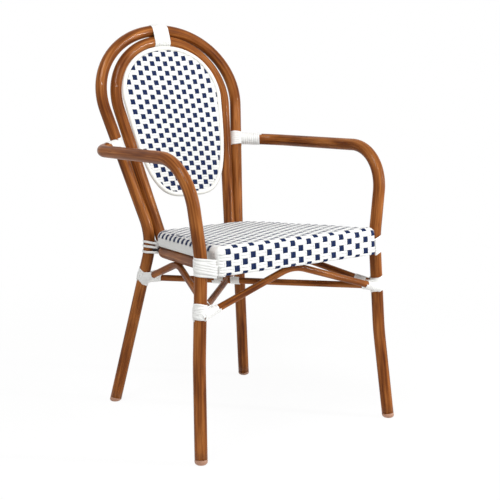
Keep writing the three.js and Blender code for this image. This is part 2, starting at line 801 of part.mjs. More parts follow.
add('outer_hoop_rear_legs', outerHoop, lacquer);
add('inner_hoop', innerHoop, lacquer);
addPair('arm_front_leg', arm, lacquer);
add('seat_ring', ringLoop(ringTube), lacquer);
add('woven_seat', wovenSeat, wovenStrand);
add('back_rim', backRim, whiteStrand);
add('woven_back', backWeave(), wovenStrand);
add('brace_front', frontBrace, lacquer);
add('brace_rear', rearBrace, lacquer);
addPair('brace_side', sideBrace, lacquer);
add('cross_bar', crossThrough, lacquer);
add('cross_half_front', crossHalfFront, lacquer);
add('cross_half_rear', crossHalfRear, lacquer);
addPair('seat_stub_front', frontStub, lacquer);
addPair('seat_stub_rear', rearStub, darkSteel);
addPair('foot_cap_front', footCap(frontFoot, knee), footPlastic);
addPair('foot_cap_rear', footCap(rearFoot, rearKink), footPlastic);
add('binding_top', topBinding, whiteStrand);
addPair('binding_arm_sleeve', armSleeve, whiteStrand);
addPair('binding_arm_lash', armLash, whiteStrand);
addPair('binding_seat_front', seatLash, whiteStrand);
addPair('binding_seat_rear', rearLash, whiteStrand);
addPair('binding_leg_front', frontLowLash, whiteStrand);
addPair('binding_leg_rear', rearLowLash, whiteStrand);
addPair('binding_brace_front', frontBraceWind, whiteStrand);
addPair('binding_brace_side', sideBraceWind, whiteStrand);
crossWinds.forEach((geometry, i) => add(`binding_cross_${i + 1}`, geometry, whiteStrand));

// The origin is on the floor under the middle of the chair's box.
const box = new THREE.Box3().setFromObject(chair);
const middle = box.getCenter(at(0, 0, 0));
chair.position.set(-middle.x, -middle.y, -box.min.z);

export default chair;
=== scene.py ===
# %% [markdown]
# # A woven bistro armchair
# The real chair is an aluminium frame lacquered to look like bamboo, with a seat and a back that are
# woven by hand from flat white and navy strand, and white strand bound over every joint.
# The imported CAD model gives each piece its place. This lesson dresses it with round tubes, real
# over-and-under weaving and procedural finishes, and then lights it as in a plain pale studio.

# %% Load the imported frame
import math

import bmesh
import bpy
from mathutils import Matrix, Vector


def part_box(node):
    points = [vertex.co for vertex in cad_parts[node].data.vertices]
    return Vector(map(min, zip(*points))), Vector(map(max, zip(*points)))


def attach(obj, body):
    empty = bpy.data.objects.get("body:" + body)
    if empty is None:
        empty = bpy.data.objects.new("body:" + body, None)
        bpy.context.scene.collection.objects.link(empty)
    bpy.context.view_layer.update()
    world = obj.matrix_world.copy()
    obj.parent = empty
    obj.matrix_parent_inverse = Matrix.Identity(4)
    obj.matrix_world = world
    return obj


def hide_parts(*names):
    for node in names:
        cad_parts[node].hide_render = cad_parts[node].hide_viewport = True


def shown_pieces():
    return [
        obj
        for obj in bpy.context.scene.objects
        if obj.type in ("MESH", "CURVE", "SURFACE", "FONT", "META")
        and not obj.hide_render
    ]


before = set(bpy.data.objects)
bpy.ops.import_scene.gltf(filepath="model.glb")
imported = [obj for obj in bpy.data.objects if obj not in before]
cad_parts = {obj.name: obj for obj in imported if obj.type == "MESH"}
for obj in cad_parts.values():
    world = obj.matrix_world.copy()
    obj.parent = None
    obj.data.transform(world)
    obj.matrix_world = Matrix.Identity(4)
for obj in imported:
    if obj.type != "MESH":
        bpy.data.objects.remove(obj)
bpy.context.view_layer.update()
plain = set(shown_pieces())
print("plain solids to dress:", len(plain))

# %% [markdown]
# ## Sizes
# A furniture maker draws in millimetres, so every size here is in millimetres too, and becomes metres
# only when a mesh is made. The drawing has its own zero, on the floor between the legs. The model's
# zero lies about 49 mm farther back, under the middle of the whole box, so one shift joins the two.
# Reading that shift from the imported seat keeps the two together. A size that only one piece needs is
# given where that piece is made.

# %% Sizes of the frame
FRAME_TUBE = 27.0
FRONT_FOOT = Vector((256.7, -232.5, 11.0))
KNEE = Vector((244.4, -211.0, 206.0))
HIP = Vector((233.1, -204.0, 419.0))
ARM_FRONT = Vector((259.7, -198.0, 620.6))
REAR_FOOT = Vector((188.3, 244.7, 11.0))
REAR_KINK = Vector((121.7, 174.4, 400.0))
SEAT_FRONT = (-232.0, 446.5)
SEAT_TILT = math.atan(0.0625)
APRON_DROP = 61.5

MM = 0.001
UP = Vector((0.0, 0.0, 1.0))
REARWARD = Vector((0.0, 1.0, 0.0))
RIGHT = Vector((1.0, 0.0, 0.0))
seat_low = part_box("woven_seat")[0]
drawn_front = SEAT_FRONT[0] - APRON_DROP * math.sin(SEAT_TILT)
SHIFT = Vector((0.0, seat_low[1] / MM - drawn_front, 0.0))
print("drawing to model, mm:", [round(v, 2) for v in SHIFT])

# %% [markdown]
# ## Meshes
# Tubes and strands are both one outline carried along a route, which is how the tube is drawn and the
# strand is extruded in the factory. A curve object could do that too, but a mesh made ring by ring can
# store, at every point, how far it is round and along the piece. The finishes read that as the
# attribute named grain, so streaks and ribs follow every bend.

# %% One maker for everything that is swept
class Bundle:
    """Gathers swept lengths that become one mesh, each with its own finish."""

    def __init__(self):
        self.points, self.faces, self.grain, self.finish = [], [], [], []

    def sweep(self, rings, section, closed=False, finish=0):
        """rings hold (place, outward); section holds (across, out)."""
        count, sides, start = len(rings), len(section), len(self.points)
        run = 0.0
        for i, (place, outward) in enumerate(rings):
            before = rings[i - 1][0] if closed or i > 0 else place
            after = rings[(i + 1) % count][0] if closed or i < count - 1 else place
            along = aim(before, after)
            side = outward.cross(along).normalized()
            up = along.cross(side)
            run += (place - before).length
            for across, out in section:
                self.points.append(place + side * across + up * out)
                self.grain.append((across, out, run))
        for i in range(count if closed else count - 1):
            here, ahead = start + i * sides, start + ((i + 1) % count) * sides
            for j in range(sides):
                k = (j + 1) % sides
                self.faces.append((here + j, here + k, ahead + k, ahead + j))
                self.finish.append(finish)
        if not closed:
            last = start + (count - 1) * sides
            self.faces.append(tuple(start + j for j in reversed(range(sides))))
            self.faces.append(tuple(last + j for j in range(sides)))
            self.finish += [finish, finish]

    def solid(self, points, faces, finish=0):
        """A ready-made closed body; its grain is its own place."""
        start = len(self.points)
        self.points += points
        self.grain += [tuple(point) for point in points]
        self.faces += [tuple(start + i for i in face) for face in faces]
        self.finish += [finish] * len(faces)

    def piece(self, name, node, finishes, slot):
        """Makes the object in metres, in the model's frame; it rides on the chair for a CAD node."""
        mesh = bpy.data.meshes.new(name)
        mesh.from_pydata([(point + SHIFT) * MM for point in self.points], [], self.faces)
        grain = mesh.attributes.new("grain", "FLOAT_VECTOR", "POINT")
        grain.data.foreach_set("vector", [v for triple in self.grain for v in triple])
        mesh.polygons.foreach_set("material_index", self.finish)
        mesh.polygons.foreach_set("use_smooth", [len(face) < 5 for face in self.faces])
        for finish in finishes:
            mesh.materials.append(finish)
        mesh.update()
        made = bpy.data.objects.new(name, mesh)
        bpy.context.scene.collection.objects.link(made)
        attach(made, "root")
        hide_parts(node)

    def both_sides(self, name, node, finishes, slot):
        """This piece on the right, and its twin on the left with its faces turned over."""
        self.piece(name + "_right", node + "_right", finishes, slot)
        twin = Bundle()
        twin.points = [mirrored(point) for point in self.points]
        twin.faces = [tuple(reversed(face)) for face in self.faces]
        twin.grain, twin.finish = self.grain, self.finish
        twin.piece(name + "_left", node + "_left", finishes, slot)


# %% Counting, directions and outlines
def dressed():
    """How many pieces this script has made so far."""
    return len(set(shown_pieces()) - plain)


def aim(start, end):
    return (end - start).normalized()


def spoke(across, over, angle):
    """A direction turned by an angle from across toward over."""
    return across * math.cos(angle) + over * math.sin(angle)


def mirrored(point):
    return Vector((-point.x, point.y, point.z))


def circle(diameter, sides):
    return [(math.cos(2 * math.pi * i / sides) * diameter / 2,
             math.sin(2 * math.pi * i / sides) * diameter / 2) for i in range(sides)]


def flat_strand(width, thick):
    """A flat strand with rounded edges, resting on its route."""
    w, t = width / 2, thick
    return [(-w, 0.45 * t), (-0.86 * w, 0.06 * t), (0.0, 0.0), (0.86 * w, 0.06 * t),
            (w, 0.45 * t), (0.78 * w, 0.92 * t), (0.0, t), (-0.78 * w, 0.92 * t)]


def carried(route, start):
    """Gives each place on a route an outward direction that never twists."""
    rings, outward = [], start
    for i, place in enumerate(route):
        along = aim(route[max(i - 1, 0)], route[min(i + 1, len(route) - 1)])
        outward = outward - along * outward.dot(along)
        if outward.length < 0.1:
            outward = along.orthogonal()
        outward.normalize()
        rings.append((place, outward.copy()))
    return rings


# %% [markdown]
# ## Routes of the bent tubes
# A tube bender works from straight runs and bend radii, and so does this: each inner corner of a route
# becomes an arc that touches both runs. The two back hoops end in half an ellipse over the top.

# %% Bends
BEND_STEP = math.radians(3.0)
LONGEST_STEP = 25.0


def bent(corners, radii):
    """Corner points become a route with an arc at each inner corner."""
    route = [corners[0].copy()]
    for before, corner, after, radius in zip(corners, corners[1:], corners[2:], radii):
        back, ahead = aim(corner, before), aim(corner, after)
        half = back.angle(ahead) / 2
        centre = corner + (back + ahead).normalized() * (radius / math.sin(half))
        first = corner + back * (radius / math.tan(half)) - centre
        second = corner + ahead * (radius / math.tan(half)) - centre
        turn = first.angle(second)
        steps = max(2, math.ceil(turn / BEND_STEP))
        for step in range(steps + 1):
            share = step / steps
            from_first = first * (math.sin((1 - share) * turn) / math.sin(turn))
            route.append(centre + from_first + second * (math.sin(share * turn) / math.sin(turn)))
    return route + [corners[-1].copy()]


def filled(route):
    """Adds places along the long straight runs, so that the finish has points to vary on."""
    full = [route[0]]
    for a, b in zip(route, route[1:]):
        steps = max(1, math.ceil((b - a).length / LONGEST_STEP))
        full += [a.lerp(b, (k + 1) / steps) for k in range(steps)]
    return full


def on_line(a, b, z):
    return a.lerp(b, (z - a.z) / (b.z - a.z))


def route_at(route, z):
    """The place and direction of a route where it rises through a height."""
    i = next(k for k in range(1, len(route)) if route[k].z >= z)
    return on_line(route[i - 1], route[i], z), aim(route[i - 1], route[i])


# %% Hoops
BACK_SLOPE = 0.325
KINK_RADIUS = 160.0
OUTER_HOOP = {"half": 187.3, "widest": 723.0, "rise": 155.7}
INNER_HOOP = {"half": 150.0, "widest": 716.6, "rise": 135.9}
INNER_LOW = (90.5, 358.0)
INNER_FORWARD = 1.2


def back_point(x, z, forward=0.0):
    """A place on the leaning plane of the back, or a little before it."""
    return Vector((x, REAR_KINK.y + (z - REAR_KINK.z) * BACK_SLOPE - forward, z))


def hoop_arch(low, hoop, forward=0.0):
    """From a point below, straight until it touches the ellipse, then over the top."""
    p, q = low[0] / hoop["half"], (low[1] - hoop["widest"]) / hoop["rise"]
    start = math.atan2(q, p) + math.acos(1 / math.hypot(p, q))
    steps = 2 * round((math.pi / 2 - start) / BEND_STEP)
    arch = []
    for i in range(steps + 1):
        angle = start + i / steps * (math.pi - 2 * start)
        arch.append(back_point(hoop["half"] * math.cos(angle),
                               hoop["widest"] + hoop["rise"] * math.sin(angle), forward))
    return arch


outer_arch = hoop_arch((REAR_KINK.x, REAR_KINK.z), OUTER_HOOP)
rear_side = bent([REAR_FOOT, REAR_KINK, outer_arch[0]], [KINK_RADIUS])[:-1]
outer_route = rear_side + outer_arch + [mirrored(p) for p in reversed(rear_side)]
inner_low = back_point(*INNER_LOW, INNER_FORWARD)
inner_route = [inner_low] + hoop_arch(INNER_LOW, INNER_HOOP, INNER_FORWARD) + [mirrored(inner_low)]

# %% Arm with its front leg
ARM_JOINT_Z = 615.3
ARM_REAR_Z = 611.4
ARM_REACH = 81.6
ARM_REAR_FORWARD = 61.1
ARM_RADII = (500.0, 250.0, 101.0, 65.0)
arm_joint = on_line(REAR_KINK, outer_arch[0], ARM_JOINT_Z)
arm_rear = back_point(arm_joint.x + ARM_REACH, ARM_REAR_Z, ARM_REAR_FORWARD)
arm_route = bent([FRONT_FOOT, KNEE, HIP, ARM_FRONT, arm_rear, arm_joint], ARM_RADII)
print("places on the outer hoop, inner hoop and arm:",
      len(outer_route), len(inner_route), len(arm_route))

# %% [markdown]
# ## Finishes
# Three effects are shared, so each is built once as a node group. Cane streaks put long golden and dark
# lines on the lacquer. Strand ribs put the fine lengthwise grooves of extruded strand on white and navy
# alike, with painted shade in the grooves. Cloudiness varies a surface softly, as handling and dust do.
# All of them read the grain attribute or the object's own coordinates, and no picture is used.

# %% Node writers
class Nodes:
    """A small writer for a node tree; an input is given a value or another node's output."""

    def __init__(self, tree):
        self.tree = tree

    def feed(self, socket, value):
        """Links an output to a socket or sets the socket's value; a colour comes without its alpha."""
        if isinstance(value, bpy.types.NodeSocket):
            self.tree.links.new(value, socket)
        elif isinstance(value, tuple) and len(value) < len(socket.default_value):
            socket.default_value = (*value, 1.0)
        else:
            socket.default_value = value

    def node(self, kind, inputs=(), **settings):
        made = self.tree.nodes.new("ShaderNode" + kind)
        for key, value in settings.items():
            setattr(made, key, value)
        for label, value in dict(inputs).items():
            self.feed(made.inputs[label], value)
        return made

    def math(self, operation, *values, clamp=False):
        return self.node("Math", enumerate(values), operation=operation, use_clamp=clamp).outputs[0]

    def noise(self, vector, **values):
        return self.node("TexNoise", {"Vector": vector, **values}).outputs["Fac"]


# %% A node group of numbers
class Group(Nodes):
    """A node group whose inputs and outputs are all plain numbers."""

    def __init__(self, name, inputs, outputs):
        super().__init__(bpy.data.node_groups.new(name, "ShaderNodeTree"))
        add = self.tree.interface.new_socket
        for label, value in inputs.items():
            add(label, in_out="INPUT", socket_type="NodeSocketFloat").default_value = value
        for label in outputs:
            add(label, in_out="OUTPUT", socket_type="NodeSocketFloat")
        self.given = self.tree.nodes.new("NodeGroupInput").outputs
        self.result = self.tree.nodes.new("NodeGroupOutput").inputs

    def grain(self):
        """Across, out and along, in millimetres, as every swept piece stores them."""
        attribute = self.node("Attribute", attribute_name="grain")
        return self.node("SeparateXYZ", {0: attribute.outputs["Vector"]}).outputs


# %% Cane streaks
streaks = Group("Cane streaks", {"Length": 160.0, "Width": 5.0, "Contrast": 1.0}, ("Streak", "Fleck"))
across, out, along = streaks.grain()
squeezed = streaks.node("CombineXYZ", {
    0: streaks.math("DIVIDE", across, streaks.given["Width"]),
    1: streaks.math("DIVIDE", out, streaks.given["Width"]),
    2: streaks.math("DIVIDE", along, streaks.given["Length"])}).outputs[0]
broad = streaks.noise(squeezed, Scale=1.0, Detail=3.0, Roughness=0.55, Distortion=0.4)
stretched = streaks.node("VectorMath", {0: squeezed, 1: (0.22, 0.22, 1.3)}, operation="MULTIPLY")
patches = streaks.noise(stretched.outputs[0], Scale=1.0, Detail=1.0)
both = streaks.math("ADD", streaks.math("MULTIPLY", broad, 0.5), streaks.math("MULTIPLY", patches, 0.5))
centred = streaks.math("SUBTRACT", both, 0.5)
streaks.feed(streaks.result["Streak"],
             streaks.math("MULTIPLY_ADD", centred, streaks.given["Contrast"], 0.5, clamp=True))
specks = streaks.noise(squeezed, Scale=3.2, Detail=2.0)
fleck = streaks.node("MapRange", {"Value": specks, "From Min": 0.63, "From Max": 0.74},
                     interpolation_type="SMOOTHSTEP")
streaks.feed(streaks.result["Fleck"], fleck.outputs["Result"])

# %% Strand ribs
ribs = Group("Strand ribs", {"Ribs per mm": 0.9, "Waver": 0.25}, ("Height", "Groove shade"))
across, _, along = ribs.grain()
drift = ribs.node("TexNoise", {"W": along, "Scale": 0.03}, noise_dimensions="1D").outputs["Fac"]
wavered = ribs.math("MULTIPLY_ADD", drift, ribs.given["Waver"], across)
turns = ribs.math("MULTIPLY", wavered, ribs.given["Ribs per mm"])
wave = ribs.math("COSINE", ribs.math("MULTIPLY", turns, 2 * math.pi))
height = ribs.math("MULTIPLY_ADD", wave, 0.5, 0.5)
ribs.feed(ribs.result["Height"], height)
# This output marks the bottom of each rib's groove. The finishes darken the strand's colour there as
# painted shade.
ribs.feed(ribs.result["Groove shade"], ribs.math("POWER", ribs.math("SUBTRACT", 1.0, height), 3.0))

# %% Cloudiness
clouds = Group("Cloudiness", {"Size": 30.0}, ("Cloud",))
fog_scale = clouds.math("DIVIDE", 1.0 / MM, clouds.given["Size"])
fog = clouds.noise(clouds.node("TexCoord").outputs["Object"], Detail=3.0, Scale=fog_scale)
clouds.feed(clouds.result["Cloud"], fog)
print("node groups:", [group.name for group in bpy.data.node_groups])


# %% Material writer
class Finish(Nodes):
    """A Principled material whose uniform values sit on the shader's own sockets."""

    def __init__(self, name, **values):
        self.material = bpy.data.materials.new(name)
        self.material.use_nodes = True
        super().__init__(self.material.node_tree)
        self.shader = self.tree.nodes["Principled BSDF"]
        self.give(**values)

    def give(self, **values):
        for label, value in values.items():
            self.feed(self.shader.inputs[label.replace("_", " ")], value)

    def group(self, group, **values):
        inputs = {label.replace("_", " "): value for label, value in values.items()}
        return self.node("Group", inputs, node_tree=group.tree).outputs

    def ramp(self, value, stops):
        made = self.node("ValToRGB", {"Fac": value})
        elements = made.color_ramp.elements
        while len(elements) < len(stops):
            elements.new(0.5)
        for element, (place, colour) in zip(elements, stops):
            element.position = place
            element.color = (*colour, 1.0)
        return made.outputs["Color"]

    def mix(self, factor, a, b):
        return self.node("Mix", {0: factor, 6: a, 7: b}, data_type="RGBA").outputs[2]

    def spread(self, value, low, high):
        """Turns a 0 to 1 value into a range of roughness."""
        return self.node("MapRange", {"Value": value, "To Min": low, "To Max": high}).outputs["Result"]

    def bump(self, height, strength, distance_mm):
        inputs = {"Height": height, "Strength": strength, "Distance": distance_mm * MM}
        self.give(Normal=self.node("Bump", inputs).outputs["Normal"])


def darker(colour, share):
    return tuple(c * share for c in colour)


# %% [markdown]
# ### Bamboo-look lacquer
# The tubes are sprayed brown, wiped along their length for golden and dark streaks, and sealed with a
# gloss coat. A wood texture would give rings and knots that this finish doesn't have, so the colour is
# one long noise that runs with the tube, and the gloss is a clear coat over a softer base.

# %% Lacquer
DARK, MIDDLE, GOLD = (0.086, 0.0205, 0.004), (0.205, 0.061, 0.011), (0.375, 0.138, 0.034)

finish = Finish("Bamboo-look lacquer", Roughness=0.4, Coat_Weight=0.14, Coat_Roughness=0.06,
                Specular_IOR_Level=0.04)
streak = finish.group(streaks, Length=130.0, Width=3.6, Contrast=2.15)
colour = finish.ramp(streak["Streak"], ((0.18, DARK), (0.5, MIDDLE), (0.86, GOLD)))
finish.give(Base_Color=finish.mix(streak["Fleck"], colour, darker(DARK, 0.45)),
            Roughness=finish.spread(finish.group(clouds, Size=60.0)["Cloud"], 0.30, 0.42))
finish.bump(streak["Streak"], 0.08, 0.3)
LACQUER = finish.material

# %% [markdown]
# ### White and navy strand
# The strand is extruded polyethylene: a soft satin with fine lengthwise ribs. White, navy and binding
# strand share the rib group and differ in rib spacing, colour and gloss. Each also darkens its colour in
# the rib grooves, which is painted shade.

# %% Strand finishes
def strand_finish(name, base, groove_shade, rough, gloss, ribs_per_mm, depth):
    finish = Finish(name, Roughness=rough, Specular_IOR_Level=gloss)
    rib = finish.group(ribs, Ribs_per_mm=ribs_per_mm, Waver=0.3)
    cloud = finish.group(clouds, Size=22.0)["Cloud"]
    soft = finish.mix(cloud, base, darker(base, 0.94))
    # Painted shade: the strand's colour is darkened in the grooves between its ribs.
    finish.give(Base_Color=finish.mix(rib["Groove shade"], soft, groove_shade),
                Roughness=finish.spread(cloud, rough - 0.06, rough + 0.06))
    finish.bump(rib["Height"], 0.5, depth)
    return finish.material


WHITE = strand_finish("White strand", (0.79, 0.795, 0.78), (0.65, 0.65, 0.635),
                      rough=0.5, gloss=0.3, ribs_per_mm=0.75, depth=0.08)
NAVY = strand_finish("Navy strand", (0.005, 0.017, 0.075), (0.003, 0.010, 0.045),
                     rough=0.5, gloss=0.12, ribs_per_mm=0.6, depth=0.10)
BINDING = strand_finish("Binding strand", (0.79, 0.794, 0.775), (0.72, 0.72, 0.705),
                        rough=0.45, gloss=0.3, ribs_per_mm=0.35, depth=0.04)

# %% [markdown]
# ### Rim, foot and bolt finishes
# The oval rim is a smooth cream-white cord, a little warmer than the weave. The feet are moulded in a
# pinkish brown plastic. The two bolts at the rear of the seat are blackened steel. A plain white core
# lies behind the seat's strands. Each differs from the next by its colour, its gloss and the size of
# its soft variation, so one function makes all four.

# %% Small finishes
def plain_finish(name, base, rough, cloud_size, metal=0.0):
    finish = Finish(name, Roughness=rough, Metallic=metal, Specular_IOR_Level=0.45)
    cloud = finish.group(clouds, Size=cloud_size)["Cloud"]
    finish.give(Base_Color=finish.mix(cloud, base, darker(base, 0.86)),
                Roughness=finish.spread(cloud, rough - 0.05, rough + 0.08))
    finish.bump(cloud, 0.1, 0.2)
    return finish.material


CREAM = plain_finish("Cream rim cord", (0.83, 0.825, 0.775), 0.38, 40.0)
FOOT = plain_finish("Foot plastic", (0.39, 0.205, 0.13), 0.42, 12.0)
BOLT = plain_finish("Blackened bolt", (0.05, 0.045, 0.045), 0.35, 6.0, 0.9)
CORE = plain_finish("Weave backing", (0.80, 0.80, 0.78), 0.6, 15.0)
TUBE_LOOK = ([LACQUER], "frame_lacquer")
STRAND_LOOK = ([BINDING], "white_strand")
print("finishes:", [look.name for look in (LACQUER, WHITE, NAVY, BINDING, CREAM, FOOT, BOLT, CORE)])

# %% [markdown]
# ## Frame tubes
# Each bent tube is one sweep of a circle along its route. The CAD tubes have 12 flat sides to keep the
# physics light, and these rounder ones stand for them.

# %% Hoops and arms
ROUND = 36
SLIM = 28


def tube(route, diameter, sides=SLIM, start=REARWARD):
    bundle = Bundle()
    bundle.sweep(carried(filled(route), start), circle(diameter, sides))
    return bundle


tube(outer_route, FRAME_TUBE, ROUND).piece("outer_hoop", "outer_hoop_rear_legs", *TUBE_LOOK)
tube(inner_route, FRAME_TUBE, ROUND).piece("inner_hoop", "inner_hoop", *TUBE_LOOK)
tube(arm_route, FRAME_TUBE, ROUND).both_sides("arm", "arm_front_leg", *TUBE_LOOK)
print("hoops and arms made:", dressed())

# %% [markdown]
# ## Seat plan and ring
# The seat is a tapered plan with rounded corners that falls slightly to the rear. The ring under it
# follows the same plan, drawn in, so both come from one function.

# %% Seat plan
SEAT_HALF = 215.0
SEAT_REAR_HALF = 133.2
SEAT_DEPTH = 386.0
SEAT_TAPER = (SEAT_HALF - SEAT_REAR_HALF) / SEAT_DEPTH
SEAT_THICK = 34.4
REAR_CORNER = 55.0
RING_TUBE = 27.0
RING_INSET = 13.8
RING_FRONT = 28.5
RING_CORNER = 20.0
SHARPEST = 0.5
TOUCH = 0.2
seat_matrix = (Matrix.Translation((0.0, SEAT_FRONT[0], SEAT_FRONT[1]))
               @ Matrix.Rotation(-SEAT_TILT, 4, "X"))


def on_seat(x, back, drop):
    return seat_matrix @ Vector((x, back, -drop))


def seat_half(back):
    return SEAT_HALF - back * SEAT_TAPER


def seat_plan(inset, front, front_radius, rear_radius):
    """The plan drawn in by an inset, as a closed run of flat points from the front left."""
    rear = SEAT_DEPTH - inset
    corners = [Vector((side * (seat_half(back) - inset), back, 0.0))
               for side, back in ((-1, front), (1, front), (1, rear), (-1, rear))]
    loop = []
    for i, radius in enumerate((front_radius, front_radius, rear_radius, rear_radius)):
        loop += bent([corners[i - 1], corners[i], corners[(i + 1) % 4]], [max(radius, SHARPEST)])[1:-1]
    return loop


ring_drop = SEAT_THICK + RING_TUBE / 2 + TOUCH
ring_plan = seat_plan(RING_INSET, RING_FRONT, RING_CORNER, REAR_CORNER - RING_INSET)
ring_loop = filled([on_seat(p.x, p.y, ring_drop) for p in ring_plan + ring_plan[:1]])[:-1]
ring = Bundle()
ring.sweep([(place, UP) for place in ring_loop], circle(RING_TUBE, ROUND), closed=True)
ring.piece("seat_ring", "seat_ring", *TUBE_LOOK)
print("ring lies under the seat's top by, mm:", round(ring_drop, 2))

# %% [markdown]
# ## Braces and cross
# Slim tubes brace the legs: a bent one on each side, touching the ring at its peak, and a cross of one
# through bar and two half bars. Their ends run a little into the legs, as welded ends do.

# %% Braces
BRACE_TUBE = 15.0
CROSS_TUBE = 14.5
BRACE_END_Z = 304.0
BRACE_REAR_Z = 299.0
PEAK_RADIUS = 100.0
PEAK_RISE = 0.9
SIDE_PEAK_Y = 36.0
SIDE_FRONT = Vector((219.6, -203.0, 317.0))
FRONT_FORWARD = 9.0
CROSS_Z = 307.0
PEAK_DROP = SEAT_THICK + 2 * TOUCH + RING_TUBE + BRACE_TUBE / 2 - PEAK_RISE


# %% Routes of the braces
def front_leg(z):
    return on_line(KNEE, HIP, z)


def rear_leg(z):
    return on_line(REAR_FOOT, REAR_KINK, z)


def brace_route(left, peak, right):
    """A bend whose arc just reaches the peak."""
    back, ahead = aim(peak, left), aim(peak, right)
    cut_off = PEAK_RADIUS * (1 / math.sin(back.angle(ahead) / 2) - 1)
    return bent([left, peak - (back + ahead).normalized() * cut_off, right], [PEAK_RADIUS])


front_end = front_leg(BRACE_END_Z) - REARWARD * FRONT_FORWARD
front_brace = brace_route(mirrored(front_end), on_seat(0.0, RING_FRONT, PEAK_DROP), front_end)
rear_end = rear_leg(BRACE_REAR_Z)
rear_brace = brace_route(mirrored(rear_end), on_seat(0.0, SEAT_DEPTH - RING_INSET, PEAK_DROP), rear_end)
side_back = (SIDE_PEAK_Y - SEAT_FRONT[0]) / math.cos(SEAT_TILT)
side_peak = on_seat(seat_half(side_back) - RING_INSET, side_back, PEAK_DROP)
side_brace = brace_route(SIDE_FRONT, side_peak, rear_end)
cross_front, cross_rear = front_leg(CROSS_Z), rear_leg(CROSS_Z)
cross_middle = cross_front.lerp(mirrored(cross_rear), cross_front.x / (cross_front.x + cross_rear.x))

# %% Brace tubes
tube(front_brace, BRACE_TUBE).piece("front_brace", "brace_front", *TUBE_LOOK)
tube(rear_brace, BRACE_TUBE).piece("rear_brace", "brace_rear", *TUBE_LOOK)
tube(side_brace, BRACE_TUBE).both_sides("side_brace", "brace_side", *TUBE_LOOK)
for name, route in (("cross_bar", [mirrored(cross_rear), cross_front]),
                    ("cross_half_front", [mirrored(cross_front), cross_middle]),
                    ("cross_half_rear", [cross_middle, cross_rear])):
    tube(route, CROSS_TUBE, start=UP).piece(name, name, *TUBE_LOOK)
print("cross meets at, mm:", [round(v, 1) for v in cross_middle])

# %% [markdown]
# ## Spacers and feet
# Two short tubes hold the seat ring to the front legs and two bolts hold it to the rear ones. A moulded
# cup closes each leg and is cut flat where it stands, so the cups are turned on the leg's own axis,
# sliced at the floor, and bevelled where they were cut.

# %% Spacers
SPACER_TUBE = 16.0
BOLT_TUBE = 9.0
front_beside = front_leg(on_seat(0.0, RING_FRONT, ring_drop).z)
stub_back = front_beside.y - SEAT_FRONT[0]
ring_beside = on_seat(seat_half(stub_back) - RING_INSET, stub_back, ring_drop)
front_stub = [front_beside, Vector((ring_beside.x, front_beside.y, front_beside.z))]
ring_corner = max(ring_plan, key=lambda p: p.y + p.x * 0.5)
corner_place = on_seat(ring_corner.x, ring_corner.y, ring_drop)
rear_stub = [route_at(outer_route, corner_place.z)[0], corner_place]
tube(front_stub, SPACER_TUBE, start=UP).both_sides("front_spacer", "seat_stub_front", *TUBE_LOOK)
tube(rear_stub, BOLT_TUBE, start=UP).both_sides("rear_bolt", "seat_stub_rear", [BOLT], "bolt_steel")

# %% Foot plugs
FOOT_OUT = FRAME_TUBE / 2 + 0.2
FOOT_LENGTH = 40.0
FOOT_GROOVE = ((0.0, -1.7), (0.5, -1.0), (1.8, -0.9), (2.0, -0.15))
FOOT_STEPS = 48
FOOT_BEVEL = 6.5
BEVEL_STEPS = 7


def foot_plug(foot, above):
    """A turned plug under the leg's end, sliced at the floor, with a softened lower edge."""
    axis = aim(foot, above)
    across = axis.orthogonal().normalized()
    over = axis.cross(across)
    plug = bmesh.new()
    profile = [(0.0, -FOOT_LENGTH), (FOOT_OUT, -FOOT_LENGTH)]
    profile += [(FOOT_OUT - inward, height) for inward, height in FOOT_GROOVE] + [(0.0, -0.1)]
    rows = []
    for radius, height in profile:
        steps = FOOT_STEPS if radius > 0 else 1
        row = []
        for i in range(steps):
            outward = spoke(across, over, 2 * math.pi * i / FOOT_STEPS)
            row.append(plug.verts.new(foot + axis * height + radius * outward))
        rows.append(row)
    for low, high in zip(rows, rows[1:]):
        for i in range(FOOT_STEPS):
            k = (i + 1) % FOOT_STEPS
            quad = [low[i % len(low)], low[k % len(low)], high[k % len(high)], high[i % len(high)]]
            plug.faces.new(list(dict.fromkeys(quad)))
    bmesh.ops.bisect_plane(plug, geom=plug.verts[:] + plug.edges[:] + plug.faces[:],
                           plane_co=(0, 0, 0), plane_no=UP, clear_inner=True)
    base = [edge for edge in plug.edges if edge.is_boundary]
    floor_face = bmesh.ops.edgeloop_fill(plug, edges=base)["faces"]
    bmesh.ops.bevel(plug, geom=[edge for face in floor_face for edge in face.edges],
                    offset=FOOT_BEVEL, segments=BEVEL_STEPS, profile=0.5, affect="EDGES")
    bmesh.ops.recalc_face_normals(plug, faces=plug.faces[:])
    plug.verts.index_update()
    bundle = Bundle()
    bundle.solid([v.co.copy() for v in plug.verts], [[v.index for v in f.verts] for f in plug.faces])
    plug.free()
    return bundle


for where, foot, above in (("front", FRONT_FOOT, KNEE), ("rear", REAR_FOOT, REAR_KINK)):
    foot_plug(foot, above).both_sides(f"foot_plug_{where}", f"foot_cap_{where}", [FOOT], "foot_plastic")
print("pieces of the frame:", dressed())

# %% [markdown]
# ## Oval back: rim and weave
# The rim is a thick cord bent to an oval that is nearly round above and squarer below. Inside it,
# groups of upright strands, white, navy, navy, white, cross level pairs of white strands, over one and
# under the next. A picture of a weave would look flat from the side, so each strand is a real length
# that rises and dips, cut where it meets the rim.

# %% Oval outline
# Above and below its widest line the oval has a (reach, power, taper) of its own.
SLOPE_LENGTH = math.hypot(1.0, BACK_SLOPE)
RIM_TUBE = 10.6
RIM_HALF = 132.2
RIM_WIDEST = 720.0
RIM_TOP = (116.8, 2.1, 0.0)
RIM_FOOT = (225.6, 3.8, 0.13)
RIM_FORWARD = 10.3 * SLOPE_LENGTH
RIM_STEPS = 128
RIM_BITE = RIM_TUBE * 0.3
BACK_NORMAL = Vector((0.0, -1.0, BACK_SLOPE)).normalized()


